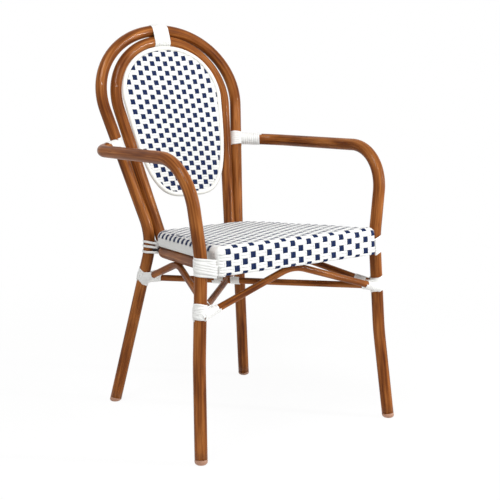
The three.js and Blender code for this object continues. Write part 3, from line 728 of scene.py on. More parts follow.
def oval_half(z, inset):
    """Half width of the oval at a height."""
    reach, power, taper = RIM_TOP if z > RIM_WIDEST else RIM_FOOT
    away = abs(z - RIM_WIDEST)
    level = away / (reach - inset)
    return (RIM_HALF - inset - away * taper) * (1 - level ** power) ** (1 / power) if level < 1 else 0.0


def oval_loop(inset):
    """Places round the oval, in the plane of the rim."""
    loop = []
    for i in range(RIM_STEPS):
        angle = 2 * math.pi * (i + 0.5) / RIM_STEPS
        sine, cosine = math.sin(angle), math.cos(angle)
        reach, power, taper = RIM_TOP if sine > 0 else RIM_FOOT
        z = RIM_WIDEST + (reach - inset) * math.copysign(abs(sine) ** (2 / power), sine)
        half = RIM_HALF - inset - abs(z - RIM_WIDEST) * taper
        loop.append(back_point(half * math.copysign(abs(cosine) ** (2 / power), cosine), z, RIM_FORWARD))
    return loop


# %% Rim
rim = Bundle()
rim.sweep([(place, BACK_NORMAL) for place in oval_loop(0.0)], circle(RIM_TUBE, SLIM), closed=True)
rim.piece("back_rim", "back_rim", [CREAM], "white_strand")
print("length of the rim cord, mm:", round(rim.grain[-1][2]))

# %% Over and under
STRAND_THICK = 1.25
RISE = 0.8
WEAVE_STEPS = 6


def weave_lift(phase):
    """Stays high over a crossing, low under the next one, and changes quickly in between."""
    return RISE * max(-1.0, min(1.0, 2.0 * math.cos(math.pi * phase)))


def fine_steps(first, last):
    """Rows or columns from the first to the last, with places between them."""
    return [step / WEAVE_STEPS for step in range(first * WEAVE_STEPS, last * WEAVE_STEPS + 1)]


# %% Weave on the back
# Each crossing lies at a cubic in (column, row): the hand-pulled columns lean and spread a little.
BACK_X = (-1.7, 17.83, -0.352, 0.084, -0.002, -0.0064, 0.0171, 0.0044, -0.0054)
BACK_S = (722.9, -0.283, 11.77, 0.0137, 0.0395, 0.0047, 0.0024, 0.0098, 0.0)
BACK_GROUP = ((-7.5, 2.75, 0), (-3.05, 6.05, 1), (3.05, 6.05, 1), (7.5, 2.75, 0))
BACK_WEFT = (-2.95, 2.95)
BACK_WEFT_WIDTH = 5.75
BACK_COLUMNS = (-8, 8)
BACK_ROWS = (-19, 16)


def back_place(column, row, aside, above, side):
    """Across, along the slope and lift of a strand; side is 1 for upright strands, -1 for level ones."""
    terms = (1.0, column, row, column * row, column ** 2, row ** 2, column ** 3, column ** 2 * row,
             column * row ** 2)
    return (sum(a * t for a, t in zip(BACK_X, terms)) + aside,
            sum(a * t for a, t in zip(BACK_S, terms)) + above, side * weave_lift(row + column))


def back_strand(cloth, places, width, finish=0):
    """One strand from its (x, along, lift) places, cut where it meets the rim."""
    inside = []
    for x, along, lift in places:
        z = along / SLOPE_LENGTH
        if abs(x) < oval_half(z, RIM_BITE):
            proud = BACK_NORMAL * (lift - STRAND_THICK / 2)
            inside.append((back_point(x, z, RIM_FORWARD) + proud, BACK_NORMAL))
    if len(inside) > 2:
        cloth.sweep(inside, flat_strand(width, STRAND_THICK), finish=finish)


# %% Strands of the back
back_cloth = Bundle()
for column in range(BACK_COLUMNS[0], BACK_COLUMNS[1] + 1):
    for offset, width, finish in BACK_GROUP:
        places = [back_place(column, row, offset, 0.0, 1) for row in fine_steps(*BACK_ROWS)]
        back_strand(back_cloth, places, width, finish)
for row in range(BACK_ROWS[0], BACK_ROWS[1] + 1):
    for offset in BACK_WEFT:
        places = [back_place(column, row, 0.0, offset, -1) for column in fine_steps(*BACK_COLUMNS)]
        back_strand(back_cloth, places, BACK_WEFT_WIDTH)

# %% Backing of the back
BACKING_HALF_THICK = 0.2
backing = oval_loop(RIM_BITE)
count = len(backing)
backing_faces = [tuple(range(count))[::-1], tuple(range(count, 2 * count))]
backing_faces += [(i, (i + 1) % count, count + (i + 1) % count, count + i) for i in range(count)]
backing = [p + BACK_NORMAL * side * BACKING_HALF_THICK for side in (1, -1) for p in backing]
back_cloth.solid(backing, backing_faces)
back_cloth.piece("back_weave", "woven_back", [WHITE, NAVY], "woven_panel")
print("faces in the back weave:", len(back_cloth.faces))

# %% [markdown]
# ## Woven seat
# The seat weave runs from the lower edge of the front band, up its face, over the rounded edge and back
# across the top. A second coordinate, the run, measures along that path, so that one rule places every
# row. Level pairs wrap down over the sides, over and under a pair of navy strands along the edge.

# %% Path from the front band over the top
SEAT_EDGE = 14.0
SEAT_CROWN = 3.0
APRON_THICK = 14.0
SURFACE_INSET = 1.3
FRONT_ARC = SEAT_EDGE * math.pi / 2
BAND_FACE = APRON_DROP - SEAT_EDGE - APRON_THICK / 2
TOP_RUN = SEAT_DEPTH - 2 * SEAT_EDGE
SEAT_TURN = seat_matrix.to_3x3()


def shoulder(turn):
    """(inset, drop) on the rounded edge, by how far it has turned down from the top."""
    return SEAT_EDGE - SEAT_EDGE * math.sin(turn), SEAT_EDGE - SEAT_EDGE * math.cos(turn)


def seat_path(run):
    """(back, drop, forward part and upward part of the normal) at a run along the path."""
    if run >= TOP_RUN:
        turn = min((run - TOP_RUN) / SEAT_EDGE, math.pi / 2)
        inset, drop = shoulder(turn)
        drop = drop + run - TOP_RUN - turn * SEAT_EDGE
        return SEAT_DEPTH - inset, drop, -math.sin(turn), math.cos(turn)
    if run >= 0:
        return SEAT_EDGE + run, 0.0, 0.0, 1.0
    if run > -FRONT_ARC:
        turn = -run / SEAT_EDGE
        return *shoulder(turn), math.sin(turn), math.cos(turn)
    fall = -run - FRONT_ARC
    if fall <= BAND_FACE:
        return 0.0, SEAT_EDGE + fall, 1.0, 0.0
    half = APRON_THICK / 2
    turn = min((fall - BAND_FACE) / half, math.pi)
    rest = fall - BAND_FACE - turn * half
    return (half - half * math.cos(turn), APRON_DROP - half + half * math.sin(turn) - rest,
            math.cos(turn), -math.sin(turn))


# %% Places on the seat
def laid(place, direction, lift):
    """A strand's place over a place on the solid's face, and its outward direction."""
    normal = (SEAT_TURN @ Vector(direction)).normalized()
    return place + normal * (lift - SURFACE_INSET - STRAND_THICK / 2), normal


def seat_place(x, run, lift):
    """On the weave across the top, which is crowned."""
    back, drop, forward, up = seat_path(run)
    share_x = min(1.0, abs(x) / seat_half(back))
    share_back = min(1.0, abs(2 * back / SEAT_DEPTH - 1))
    crown = SEAT_CROWN * (1 - share_x ** 2) * (1 - share_back ** 2) if run >= 0 else 0.0
    return laid(on_seat(x, back, drop - crown), (0.0, -forward, up), lift)


# %% Outline by arc length
FRONT_CORNER = 11.0
SIDE_WAY = Vector((seat_half(SEAT_DEPTH) - SEAT_HALF, SEAT_DEPTH)).normalized()
side_lean = math.atan2(SIDE_WAY.x, SIDE_WAY.y)
SIDE_OUT = Vector((math.cos(side_lean), -math.sin(side_lean)))
FRONT_CENTRE, REAR_CENTRE = (Vector((SEAT_HALF - SEAT_TAPER * back - radius / SIDE_OUT.x, back))
                             for radius, back in ((FRONT_CORNER, FRONT_CORNER),
                                                  (REAR_CORNER, SEAT_DEPTH - REAR_CORNER)))
FRONT_TURN = math.atan2(SIDE_OUT.x, -SIDE_OUT.y)
REAR_TURN = math.pi - FRONT_TURN
SIDE_START = FRONT_CENTRE.x + FRONT_TURN * FRONT_CORNER
SIDE_END = SIDE_START + (REAR_CENTRE + SIDE_OUT * REAR_CORNER
                         - FRONT_CENTRE - SIDE_OUT * FRONT_CORNER).length
CORNER_END = SIDE_END + REAR_TURN * REAR_CORNER


def turned(angle):
    """Outward direction, turning from the front (0) over the side to the rear (half a turn)."""
    return Vector((math.sin(angle), -math.cos(angle)))


def outline(arc):
    """A place on the plan and its outward direction, by arc length from the front middle."""
    sign, run = math.copysign(1.0, arc), abs(arc)
    if run <= FRONT_CENTRE.x:
        place, out = Vector((run, 0.0)), turned(0.0)
    elif run <= SIDE_START:
        out = turned((run - FRONT_CENTRE.x) / FRONT_CORNER)
        place = FRONT_CENTRE + out * FRONT_CORNER
    elif run <= SIDE_END:
        place, out = FRONT_CENTRE + SIDE_OUT * FRONT_CORNER + SIDE_WAY * (run - SIDE_START), SIDE_OUT
    elif run <= CORNER_END:
        out = turned(FRONT_TURN + (run - SIDE_END) / REAR_CORNER)
        place = REAR_CENTRE + out * REAR_CORNER
    else:
        place, out = Vector((REAR_CENTRE.x - (run - CORNER_END), SEAT_DEPTH)), turned(math.pi)
    return Vector((place.x * sign, place.y)), Vector((out.x * sign, out.y))


# %% Places round the seat's edge
def shoulder_half(back, inset):
    """Half width of the plan drawn in by an inset, with its rear corners."""
    straight = seat_half(back) - inset / SIDE_OUT.x
    if back <= REAR_CENTRE.y:
        return straight
    chord = (REAR_CORNER - inset) ** 2 - (back - REAR_CENTRE.y) ** 2
    return min(REAR_CENTRE.x + math.sqrt(chord) if chord > 0 else 0.0, straight)


def edge_place(arc, inset, drop, level, up, lift):
    """Drawn in and down from the outline; level and up are the parts of its normal."""
    place, out = outline(arc)
    return laid(on_seat(place.x - out.x * inset, place.y - out.y * inset, drop),
                (out.x * level, out.y * level, up), lift)


def shoulder_place(arc, degrees, lift):
    """On the rounded edge, by how far it has turned down from the top."""
    turn = math.radians(degrees)
    return edge_place(arc, *shoulder(turn), math.sin(turn), math.cos(turn), lift)


def front_place(arc, run, lift):
    """On the front edge or band, round its corners."""
    inset, drop, forward, up = seat_path(run)
    if 0 < abs(arc) - FRONT_CENTRE.x < SIDE_START - FRONT_CENTRE.x:
        inset = min(inset, FRONT_CORNER)
    return edge_place(arc, inset, drop, forward, up, lift)


# %% Lattice of the seat
SEAT_COLUMN = 21.4
SEAT_ROW = 12.45
FIRST_ROW_RUN = -6.95
PULL = (0.75, 0.0064)
SEAT_FAN = 0.0004
SEAT_GROUP = ((-8.2, 3.6, 0), (-3.1, 6.2, 1), (3.1, 6.2, 1), (8.2, 3.6, 0))
SEAT_WEFT = 3.05
WEFT = flat_strand(5.95, STRAND_THICK)
OUTER_COLUMN = 9
LOW_ROW = -8
SETTLE = 20.0
WARP_BEYOND = 4
WARP_CUT = SEAT_EDGE * 0.8


def column_x(column, back):
    """Columns stand a little wider toward the sides, as the maker pulled them."""
    pulled = PULL[0] * abs(column) + PULL[1] * max(0, column) ** 3
    return (SEAT_COLUMN * column + pulled) * (1 - SEAT_FAN * back)


def column_at(x, back):
    """The fractional column at a place across the seat."""
    flat = x / (1 - SEAT_FAN * back)
    column = flat / (SEAT_COLUMN + math.copysign(PULL[0], flat))
    return column - PULL[1] * max(0.0, column) ** 3 / SEAT_COLUMN


def row_run(row):
    return FIRST_ROW_RUN + row * SEAT_ROW


def arc_of_row(row):
    """Where a row's end meets the outline, on the straight side."""
    shoulder_y = (FRONT_CENTRE + SIDE_OUT * (FRONT_CORNER - SEAT_EDGE)).y
    return SIDE_START + (SEAT_EDGE + row_run(row) - shoulder_y) / SIDE_WAY.y


def row_at(arc):
    """The fractional row at a place on the straight side, and beyond it."""
    return (arc - arc_of_row(0)) * SIDE_WAY.y / SEAT_ROW


# %% Upright strands of the seat
def seat_warp(column, offset):
    """Rings of one strand, up the band and across the top until it meets the side."""
    arc = column_x(column, 0.0) + offset
    corner, out = outline(arc)
    shift = corner.x - out.x * SEAT_EDGE - arc
    rings = []
    last_row = math.floor((TOP_RUN + FRONT_ARC + WARP_BEYOND - FIRST_ROW_RUN) / SEAT_ROW)
    for row in fine_steps(LOW_ROW, last_row):
        run, lift = row_run(row), weave_lift(row + column)
        if run <= 0:
            rings.append(front_place(arc, run, lift))
            continue
        back = seat_path(run)[0]
        x = column_x(column, back) + offset + shift * math.exp(-run / SETTLE)
        if abs(x) < shoulder_half(min(back, SEAT_DEPTH - SEAT_EDGE), WARP_CUT):
            rings.append(seat_place(x, run, lift))
        elif run > 2 * SEAT_EDGE:
            break
    return rings


seat_cloth = Bundle()
for column in range(-OUTER_COLUMN, OUTER_COLUMN + 1):
    for offset, width, finish in SEAT_GROUP:
        seat_cloth.sweep(seat_warp(column, offset), flat_strand(width, STRAND_THICK), finish=finish)

# %% Wraps over the sides
SHOULDER_TURNS = range(0, 100, 10)
WRAP_TOP = 17.0
WRAP_LOW = 31.0
SIDE_LIFT = 0.35
TUCK_IN = 3.0
EDGE_MIDDLE = 55.0
EDGE_SPREAD = 41.0
EDGE_STEEP = 3.2


def edge_wave(row, degrees):
    """Level strands pass over or under the pair of edge strands on the shoulder."""
    near = max(0.0, 1 - abs(degrees - EDGE_MIDDLE) / EDGE_SPREAD)
    return RISE * min(1.0, EDGE_STEEP * near) * (1 if (row + 1) % 2 else -1)


def wrap(arc, row, lowest=WRAP_LOW):
    """One strand over the shoulder and down the side, where it is tucked in."""
    rings = [shoulder_place(arc, degrees, edge_wave(row, degrees)) for degrees in SHOULDER_TURNS]
    rings += [edge_place(arc, 0.0, WRAP_TOP + (lowest - WRAP_TOP) * k / 3, 1.0, 0.0, SIDE_LIFT)
              for k in range(4)]
    return rings + [edge_place(arc, TUCK_IN, lowest + 1.0, 1.0, 0.0, 0.0)]


def other_side(rings):
    return [(mirrored(place), mirrored(out)) for place, out in rings]


# %% Level strands
REAR_SHORT = 2.0
REAR_SUNK = 1.0
WEFT_BEYOND = 2
BAND_BEYOND = 8.0
PLAIN_BEYOND = 9.0
PLAIN_LIFT = 0.45


def top_weft(row, offset):
    """Rings of one strand across the top, with a wrap down each side where the side is straight."""
    run = row_run(row) + offset
    back = SEAT_EDGE + run
    arc = arc_of_row(row) + offset / SIDE_WAY.y
    on_side = arc < SIDE_END
    flat = shoulder_half(back, SEAT_EDGE) - (0.0 if on_side else REAR_SHORT)
    steps = max(4, math.ceil(2 * flat / SEAT_COLUMN * WEAVE_STEPS))
    rings = []
    for step in range(steps + 1):
        x = -flat + 2 * flat * step / steps
        near = max(0.0, 1 - (flat - abs(x)) / SEAT_EDGE) if on_side else 0.0
        sunk = 0.0 if on_side or 0 < step < steps else REAR_SUNK
        rings.append(seat_place(x, run, -weave_lift(row + column_at(x, back)) * (1 - near) - sunk))
    if on_side:
        down = wrap(arc, row)[1:]
        rings = other_side(down)[::-1] + rings + down
    return rings


def band_weft(row, offset):
    """Rows on the rounded front edge and on the front band go round its corners by arc length."""
    reach = SIDE_START + BAND_BEYOND
    steps = math.ceil(2 * reach / SEAT_COLUMN * WEAVE_STEPS)
    rings = []
    for step in range(steps + 1):
        arc = -reach + 2 * reach * step / steps
        plain_end = abs(arc) > column_x(OUTER_COLUMN, 0.0) + PLAIN_BEYOND
        lift = PLAIN_LIFT if plain_end else -weave_lift(row + column_at(arc, 0.0))
        rings.append(front_place(arc, row_run(row) + offset, lift))
    return rings


top_rows = math.ceil((TOP_RUN + WEFT_BEYOND - FIRST_ROW_RUN) / SEAT_ROW)
for maker, rows in ((top_weft, range(1, top_rows)), (band_weft, range(LOW_ROW + 1, 1))):
    for row in rows:
        for offset in (-SEAT_WEFT, SEAT_WEFT):
            seat_cloth.sweep(maker(row, offset), WEFT)
print("rows across the top:", top_rows - 1, "faces in the seat weave:", len(seat_cloth.faces))

# %% Plain wraps behind the front corners, and more round the rear corners
CORNER_WRAPS = 6
CORNER_FIRST = SIDE_START - 10.0
CORNER_LOW = 44.0
WRAP_ROOT = {"inset": SEAT_EDGE + 5.0, "drop": 0.0, "level": 0.0, "up": 1.0, "lift": -0.4}
wraps = [(CORNER_FIRST + 2 * SEAT_WEFT * k, 0, CORNER_LOW) for k in range(CORNER_WRAPS)]
row = math.ceil(row_at(SIDE_END))
arc = arc_of_row(row)
while arc < CORNER_END + SEAT_COLUMN / 2:
    wraps += [(arc + side, row, WRAP_LOW) for side in (-SEAT_WEFT, SEAT_WEFT)]
    arc, row = arc + SEAT_ROW, row + 1
for arc, row, lowest in wraps:
    rings = [edge_place(arc, **WRAP_ROOT)] + wrap(arc, row, lowest)
    seat_cloth.sweep(rings, WEFT)
    seat_cloth.sweep(other_side(rings), WEFT)

# %% Pair of edge strands
EDGE_TURNS = (70.0, 39.0)
EDGE_STRAND = flat_strand(6.7, STRAND_THICK)
edge_first = SIDE_START + 18.0
edge_length = CORNER_END + REAR_CENTRE.x - edge_first
edge_steps = math.ceil(edge_length / (SEAT_ROW / WEAVE_STEPS))

for degrees in EDGE_TURNS:
    edge = []
    for k in range(edge_steps + 1):
        arc = edge_first + edge_length * k / edge_steps
        edge.append(shoulder_place(arc, degrees, weave_lift(row_at(arc) + 1)))
    seat_cloth.sweep(edge + other_side(edge[:-1])[::-1], EDGE_STRAND, finish=1)


# %% Backing of the seat
BACKING_INSET = 3.3
BACKING_CLEAR = 1.0
BACKING_TURNS = 4
BAND_BACKING_TOP = 20.0
BAND_BACKING_SHORT = 2.5
BAND_BACKING_TURNS = 8


def panel_backing(inset):
    """The panel's own solid drawn in a little, so that no light comes through the weave."""
    levels = [(inset, SEAT_THICK - BACKING_CLEAR)]
    for k in range(BACKING_TURNS + 1):
        angle = k / BACKING_TURNS * math.pi / 2
        levels.append((SEAT_EDGE - (SEAT_EDGE - inset) * math.cos(angle),
                       SEAT_EDGE - (SEAT_EDGE - inset) * math.sin(angle)))
    plans = []
    for level, drop in levels:
        flat = seat_plan(level, level, FRONT_CORNER, REAR_CORNER - level)
        plans.append([on_seat(p.x, p.y, drop) for p in flat])
    size, top = len(plans[0]), (len(plans) - 1) * len(plans[0])
    faces = [(low + i, low + (i + 1) % size, low + size + (i + 1) % size, low + size + i)
             for low in range(0, top, size) for i in range(size)]
    faces.append(tuple(reversed(range(size))))
    faces += [(top + i, top + (i + 1) % size, top + size) for i in range(size)]
    middle = on_seat(0.0, SEAT_DEPTH / 2, inset - SEAT_CROWN)
    return [p for plan in plans for p in plan] + [middle], faces


def band_backing(inset):
    """A rounded slab inside the front band."""
    half, low = APRON_THICK / 2, APRON_DROP - APRON_THICK / 2
    radius = half - inset
    side = [(half - radius, BAND_BACKING_TOP), (half - radius, low)]
    for k in range(1, BAND_BACKING_TURNS):
        angle = math.pi * k / BAND_BACKING_TURNS
        side.append((half - radius * math.cos(angle), low + radius * math.sin(angle)))
    side += [(half + radius, low), (half + radius, BAND_BACKING_TOP)]
    reach, size = SEAT_HALF - inset - BAND_BACKING_SHORT, len(side)
    faces = [(size + i, size + (i + 1) % size, (i + 1) % size, i) for i in range(size)]
    faces += [tuple(range(size)), tuple(reversed(range(size, 2 * size)))]
    return [on_seat(x, back, drop) for x in (-reach, reach) for back, drop in side], faces


seat_cloth.solid(*panel_backing(BACKING_INSET), finish=2)
seat_cloth.solid(*band_backing(BACKING_INSET), finish=2)
seat_cloth.piece("seat_weave", "woven_seat", [WHITE, NAVY, CORE], "woven_panel")
print("faces in the whole seat:", len(seat_cloth.faces))

# %% [markdown]
# ## Bindings
# White strand covers every joint. At the top it winds round both hoops together, on the arms it winds
# round one tube, and on the legs it passes round the far side and is drawn to the brace or the seat.
# Each binding is made of the strand's own passes, as the maker winds it: helixes, lashings round a far
# side, and cones that leave a leg wide and close down on a brace.

# %% Windings
BIND_WIDTH = 5.5
BIND_THICK = 1.35
BIND = flat_strand(BIND_WIDTH, BIND_THICK)
TURN_STEPS = 40
GAP = 0.05
TUBE_OUT = FRAME_TUBE / 2 + GAP


def coil(bundle, start, axis, radius, length, pitch, tilt=0.0, toward=None):
    """A helix along an axis, whose turns may dip toward one side."""
    across = UP.cross(axis)
    across = (across if across.length > 0.3 else REARWARD.cross(axis)).normalized()
    over = axis.cross(across)
    dip = math.atan2(toward.dot(over), toward.dot(across)) if toward else 0.0
    steps = math.ceil(length / pitch * TURN_STEPS)
    rings = []
    for i in range(steps + 1):
        angle = 2 * math.pi * i / TURN_STEPS
        outward = spoke(across, over, angle)
        climb = length * i / steps + tilt * math.cos(angle - dip)
        rings.append((start + axis * climb + outward * radius, outward))
    bundle.sweep(rings, BIND)


# %% Top binding
ROUND_SHARE = 0.46


def hoop_top(x, hoop, forward):
    return back_point(x, hoop["widest"] + hoop["rise"] * math.sqrt(1 - (x / hoop["half"]) ** 2), forward)


def hoop_pair_ring(share, run):
    """Half a turn round each hoop, with a straight run between them."""
    high, low = hoop_top(run, OUTER_HOOP, 0.0), hoop_top(run, INNER_HOOP, INNER_FORWARD)
    up = aim(low, high)
    across = up.cross(RIGHT).normalized()
    half = 0 if share < 0.5 else 1
    angle = math.pi * min(1.0, (share - half * 0.5) / ROUND_SHARE) + half * math.pi
    outward = spoke(across, up, angle)
    return (low if half else high) + outward * TUBE_OUT, outward


TOP_TURNS = 8
TOP_WIDTH = 5.3
TOP_PITCH = 5.35
TOP_ASIDE = -3.0
top_rings = []
for i in range(TOP_TURNS * TURN_STEPS + 1):
    run = TOP_ASIDE + TOP_PITCH * (i / TURN_STEPS - TOP_TURNS / 2)
    top_rings.append(hoop_pair_ring(i % TURN_STEPS / TURN_STEPS, run))
top = Bundle()
top.sweep(top_rings, flat_strand(TOP_WIDTH, BIND_THICK))
top.piece("top_binding", "binding_top", *STRAND_LOOK)
print("places round the top binding:", len(top_rings))

# %% Arm joints
SLEEVE_RUN = 9.5
SLEEVE_LENGTH = 54.0
SLEEVE_PITCH = 5.2
arm_way = aim(arm_joint, arm_rear)
sleeve = Bundle()
coil(sleeve, arm_joint + arm_way * (SLEEVE_RUN + BIND_WIDTH / 2), arm_way, TUBE_OUT,
     SLEEVE_LENGTH - BIND_WIDTH, SLEEVE_PITCH)
sleeve.both_sides("arm_sleeve", "binding_arm_sleeve", *STRAND_LOOK)

# %% Lashings
LASH_STEPS = 20
LASH_TUCK = 3.0
PINCH_RUN = 12.0
QUARTER = math.pi / 2
FRONT_SPAN = math.radians(62)
LOOP_SPAN = math.radians(132)


def lash(bundle, centre, axis, away, climbs, spans, runs, slant=0.0, pinch=1.0, lift=0.0, lower=0.0):
    """Strands round the far side of a tube; spans and runs are (before, after) its far side."""
    out = (away - axis * away.dot(axis)).normalized()
    across = axis.cross(out)

    def ring(climb, angle, run, inward=0.0):
        outward, tangent = spoke(out, across, angle), spoke(across, -out, angle)
        sign, after = math.copysign(1.0, angle), angle > 0
        path, whole = angle * TUBE_OUT + sign * run, spans[after] * TUBE_OUT + runs[after]
        drawn_in = 1 - (1 - pinch) * min(1.0, abs(run) / PINCH_RUN)
        height = climb * drawn_in + slant * path / whole - lower
        place = centre + outward * (TUBE_OUT + lift - inward) + tangent * (sign * run) + axis * height
        return place, outward

    for climb in climbs:
        rings = [ring(climb, -spans[0], runs[0] + 1.0, LASH_TUCK)]
        rings += [ring(climb, -spans[0], runs[0] * share) for share in (1.0, 0.6, 0.25)]
        rings += [ring(climb, -spans[0] + (spans[0] + spans[1]) * i / LASH_STEPS, 0.0)
                  for i in range(LASH_STEPS + 1)]
        rings += [ring(climb, spans[1], runs[1] * share) for share in (0.25, 0.6, 1.0)]
        rings.append(ring(climb, spans[1], runs[1] + 1.0, LASH_TUCK))
        bundle.sweep(rings, BIND)


def spread(count, pitch):
    return [pitch * (k - (count - 1) / 2) for k in range(count)]


# %% Arm, seat and rear lashings
SEAT_LASH_Z = 403.0
REAR_LOOPS_Z = 379.0
arm_lash = Bundle()
lash(arm_lash, arm_joint, route_at(outer_route, ARM_JOINT_Z)[1], -arm_way, spread(7, 4.9),
     (QUARTER, QUARTER), (12.0, 12.0), pinch=0.86, lower=2.0)
arm_lash.both_sides("arm_lash", "binding_arm_lash", *STRAND_LOOK)

seat_leg = route_at(arm_route, SEAT_LASH_Z)
seat_lash = Bundle()
lash(seat_lash, *seat_leg, RIGHT, spread(7, 5.4), (FRONT_SPAN, QUARTER), (29.0, 15.0),
     slant=4.0, lower=-2.7)
lash(seat_lash, *seat_leg, RIGHT, (-4.0, 1.4, 6.8, 12.2), (FRONT_SPAN, QUARTER), (31.0, 12.0),
     slant=9.0, lift=1.2)
seat_lash.both_sides("seat_lash", "binding_seat_front", *STRAND_LOOK)

rear_loops = Bundle()
lash(rear_loops, *route_at(outer_route, REAR_LOOPS_Z), REARWARD, (14.5, 4.0, -9.5), (LOOP_SPAN, QUARTER),
     (24.0, 20.0), pinch=0.9, lift=0.6)
rear_loops.both_sides("rear_loops", "binding_seat_rear", *STRAND_LOOK)
print("pieces with the upper bindings:", dressed())

# %% Cones from a leg onto a brace
def cone(bundle, start, toward, size, leg_way, first, length, wide, flare=30.0, pitch=5.0):
    """Turns that lie along the leg where they leave it and close down square on a brace."""
    along = aim(start, toward)
    upward = leg_way - along * leg_way.dot(along)
    slope = leg_way.dot(along) / upward.length
    upward.normalize()
    across = along.cross(upward)
    narrow = size / 2 + GAP
    steps = math.ceil((length - first) / pitch * TURN_STEPS)
    rings = []
    for i in range(steps + 1):
        angle = 2 * math.pi * i / TURN_STEPS
        run = first + (length - first) * i / steps
        left = max(0.0, 1 - (run - first) / flare)
        outward = spoke(upward, across, angle)
        radius = narrow + (wide - narrow) * left
        lean = slope * radius * math.cos(angle) * left
        rings.append((start + along * (run + lean) + outward * radius, outward))
    bundle.sweep(rings, BIND)


# %% Straps round a leg
STRAP_OUT = TUBE_OUT + 1.0
STRAP_STEPS = 20
STRAP_NARROW = 10.0
STRAP_SHARES = (0.0, 0.25, 0.5, 0.75, 1.0, 1.06)
STRAP_TUCK = 2.5
STRAP_COUNT = 4
STRAP_PITCH = 5.0
STRAP_CLOSE = 0.55
STRAP_EASE = 1.3


def straps(bundle, centre, axis, toward, reach, slant):
    """Strands round the far side of a leg whose two ends lie down along a brace."""
    flat = (toward - axis * toward.dot(axis)).normalized()
    across = axis.cross(flat)

    def end(climb, side):
        rings = []
        for share in STRAP_SHARES:
            sunk = STRAP_TUCK if share > 1.0 else 0.0
            half = STRAP_OUT + (STRAP_NARROW - TUBE_OUT) * share ** STRAP_EASE - sunk
            height = (climb + slant * side) * (1 - STRAP_CLOSE * share)
            rings.append((centre + toward * (reach * share) + across * side * half + axis * height,
                          across * side))
        return rings

    for climb in spread(STRAP_COUNT, STRAP_PITCH):
        around = []
        for i in range(1, STRAP_STEPS):
            angle = math.pi * i / STRAP_STEPS
            outward = spoke(-across, -flat, angle)
            height = climb - slant * math.cos(angle)
            around.append((centre + outward * STRAP_OUT + axis * height, outward))
        bundle.sweep(end(climb, -1.0)[::-1] + around + end(climb, 1.0), BIND)


# %% Low lashings of the front legs
# A plain layer comes first, then slanting turns both ways, cones onto the two braces, and straps.
FRONT_LASH_Z = 312.0
LASH_PITCH = 5.3
LASH_DIP = -5.0
front_low, front_way = route_at(arm_route, FRONT_LASH_Z)
brace_way, cross_way = aim(front_end, front_brace[-2]), aim(cross_front, cross_middle)
inward = aim(front_low, cross_middle)
front_lash = Bundle()
coil(front_lash, front_low - front_way * 16.5, front_way, TUBE_OUT - 0.3, 33.0, LASH_PITCH)
coil(front_lash, front_low - front_way * 14.0, front_way, TUBE_OUT, 28.0, LASH_PITCH, LASH_DIP, inward)
coil(front_lash, front_low + front_way * 10.0, -front_way, TUBE_OUT + 1.2, 18.0, 9.0, LASH_DIP, inward)
coil(front_lash, front_end, brace_way, BRACE_TUBE / 2 + 0.3, 33.0, 5.0)
cone(front_lash, front_end, front_brace[-2], BRACE_TUBE, front_way, first=1.5, length=35.0, wide=9.2)
cone(front_lash, cross_front, cross_middle, CROSS_TUBE, front_way, first=12.0, length=34.0, wide=9.5)
straps(front_lash, front_low, front_way, (brace_way + cross_way).normalized(), reach=26.0, slant=3.0)
front_lash.both_sides("front_leg_lash", "binding_leg_front", *STRAND_LOOK)

# %% Low lashings of the rear legs
REAR_LASH_Z = 309.0
rear_low, rear_way = route_at(outer_route, REAR_LASH_Z)
brace_way, cross_way = aim(rear_end, rear_brace[-2]), aim(cross_rear, cross_middle)
inward = aim(rear_low, cross_middle)
rear_lash = Bundle()
coil(rear_lash, rear_low - rear_way * 14.0, rear_way, TUBE_OUT, 28.0, 5.2, -6.0, inward)
cone(rear_lash, cross_rear, cross_middle, CROSS_TUBE, rear_way, first=13.0, length=45.0, wide=11.0)
cone(rear_lash, rear_end, rear_brace[-2], BRACE_TUBE, rear_way, first=13.0, length=38.0, wide=11.5)
straps(rear_lash, rear_low, rear_way, (brace_way + cross_way).normalized(), reach=24.0, slant=4.0)
rear_lash.both_sides("rear_leg_lash", "binding_leg_rear", *STRAND_LOOK)


# %% Brace windings
CROSS_WIND_RUN = CROSS_TUBE / 2 + 2.6


def brace_wind(start, toward, size, run, turns):
    bundle = Bundle()
    along = aim(start, toward)
    coil(bundle, start + along * run, along, size / 2 + GAP, turns * LASH_PITCH, LASH_PITCH)
    return bundle


brace_wind(front_brace[-1], front_brace[-2], BRACE_TUBE, 31.0, 2).both_sides(
    "front_brace_wind", "binding_brace_front", *STRAND_LOOK)
side_wind = Bundle()
cone(side_wind, side_brace[-1], side_brace[-2], BRACE_TUBE, rear_way, first=13.0, length=60.0, wide=12.0,
     flare=40.0)
cone(side_wind, side_brace[0], side_brace[1], BRACE_TUBE, front_way, first=4.0, length=36.0, wide=8.2)
side_wind.both_sides("side_brace_wind", "binding_brace_side", *STRAND_LOOK)
for i, end in enumerate((mirrored(cross_rear), cross_front)):
    brace_wind(cross_middle, end, CROSS_TUBE, CROSS_WIND_RUN, 4).piece(
        f"cross_wind_{i + 1}", f"binding_cross_{i + 1}", *STRAND_LOOK)
print("pieces in all:", dressed())

# %% [markdown]
# ## Floor and light
# The chair stands on a plain white floor that runs out to a white surround. For the camera the floor
# is nearly all glow, so its white doesn't need more light on the chair, and the rest of it still takes
# the chair's soft shadow. One broad lamp above, on the viewer's left, shapes the tubes and a weaker one
# fills from the right. Two narrow lamps, one upright on the right and one level, high in front, draw
# thin lines of light on the lacquer.

# %% Floor
PLAIN_WHITE = (1.0, 1.0, 1.0)
FLOOR_HALF = 15.0
FLOOR_DROP = 0.0005


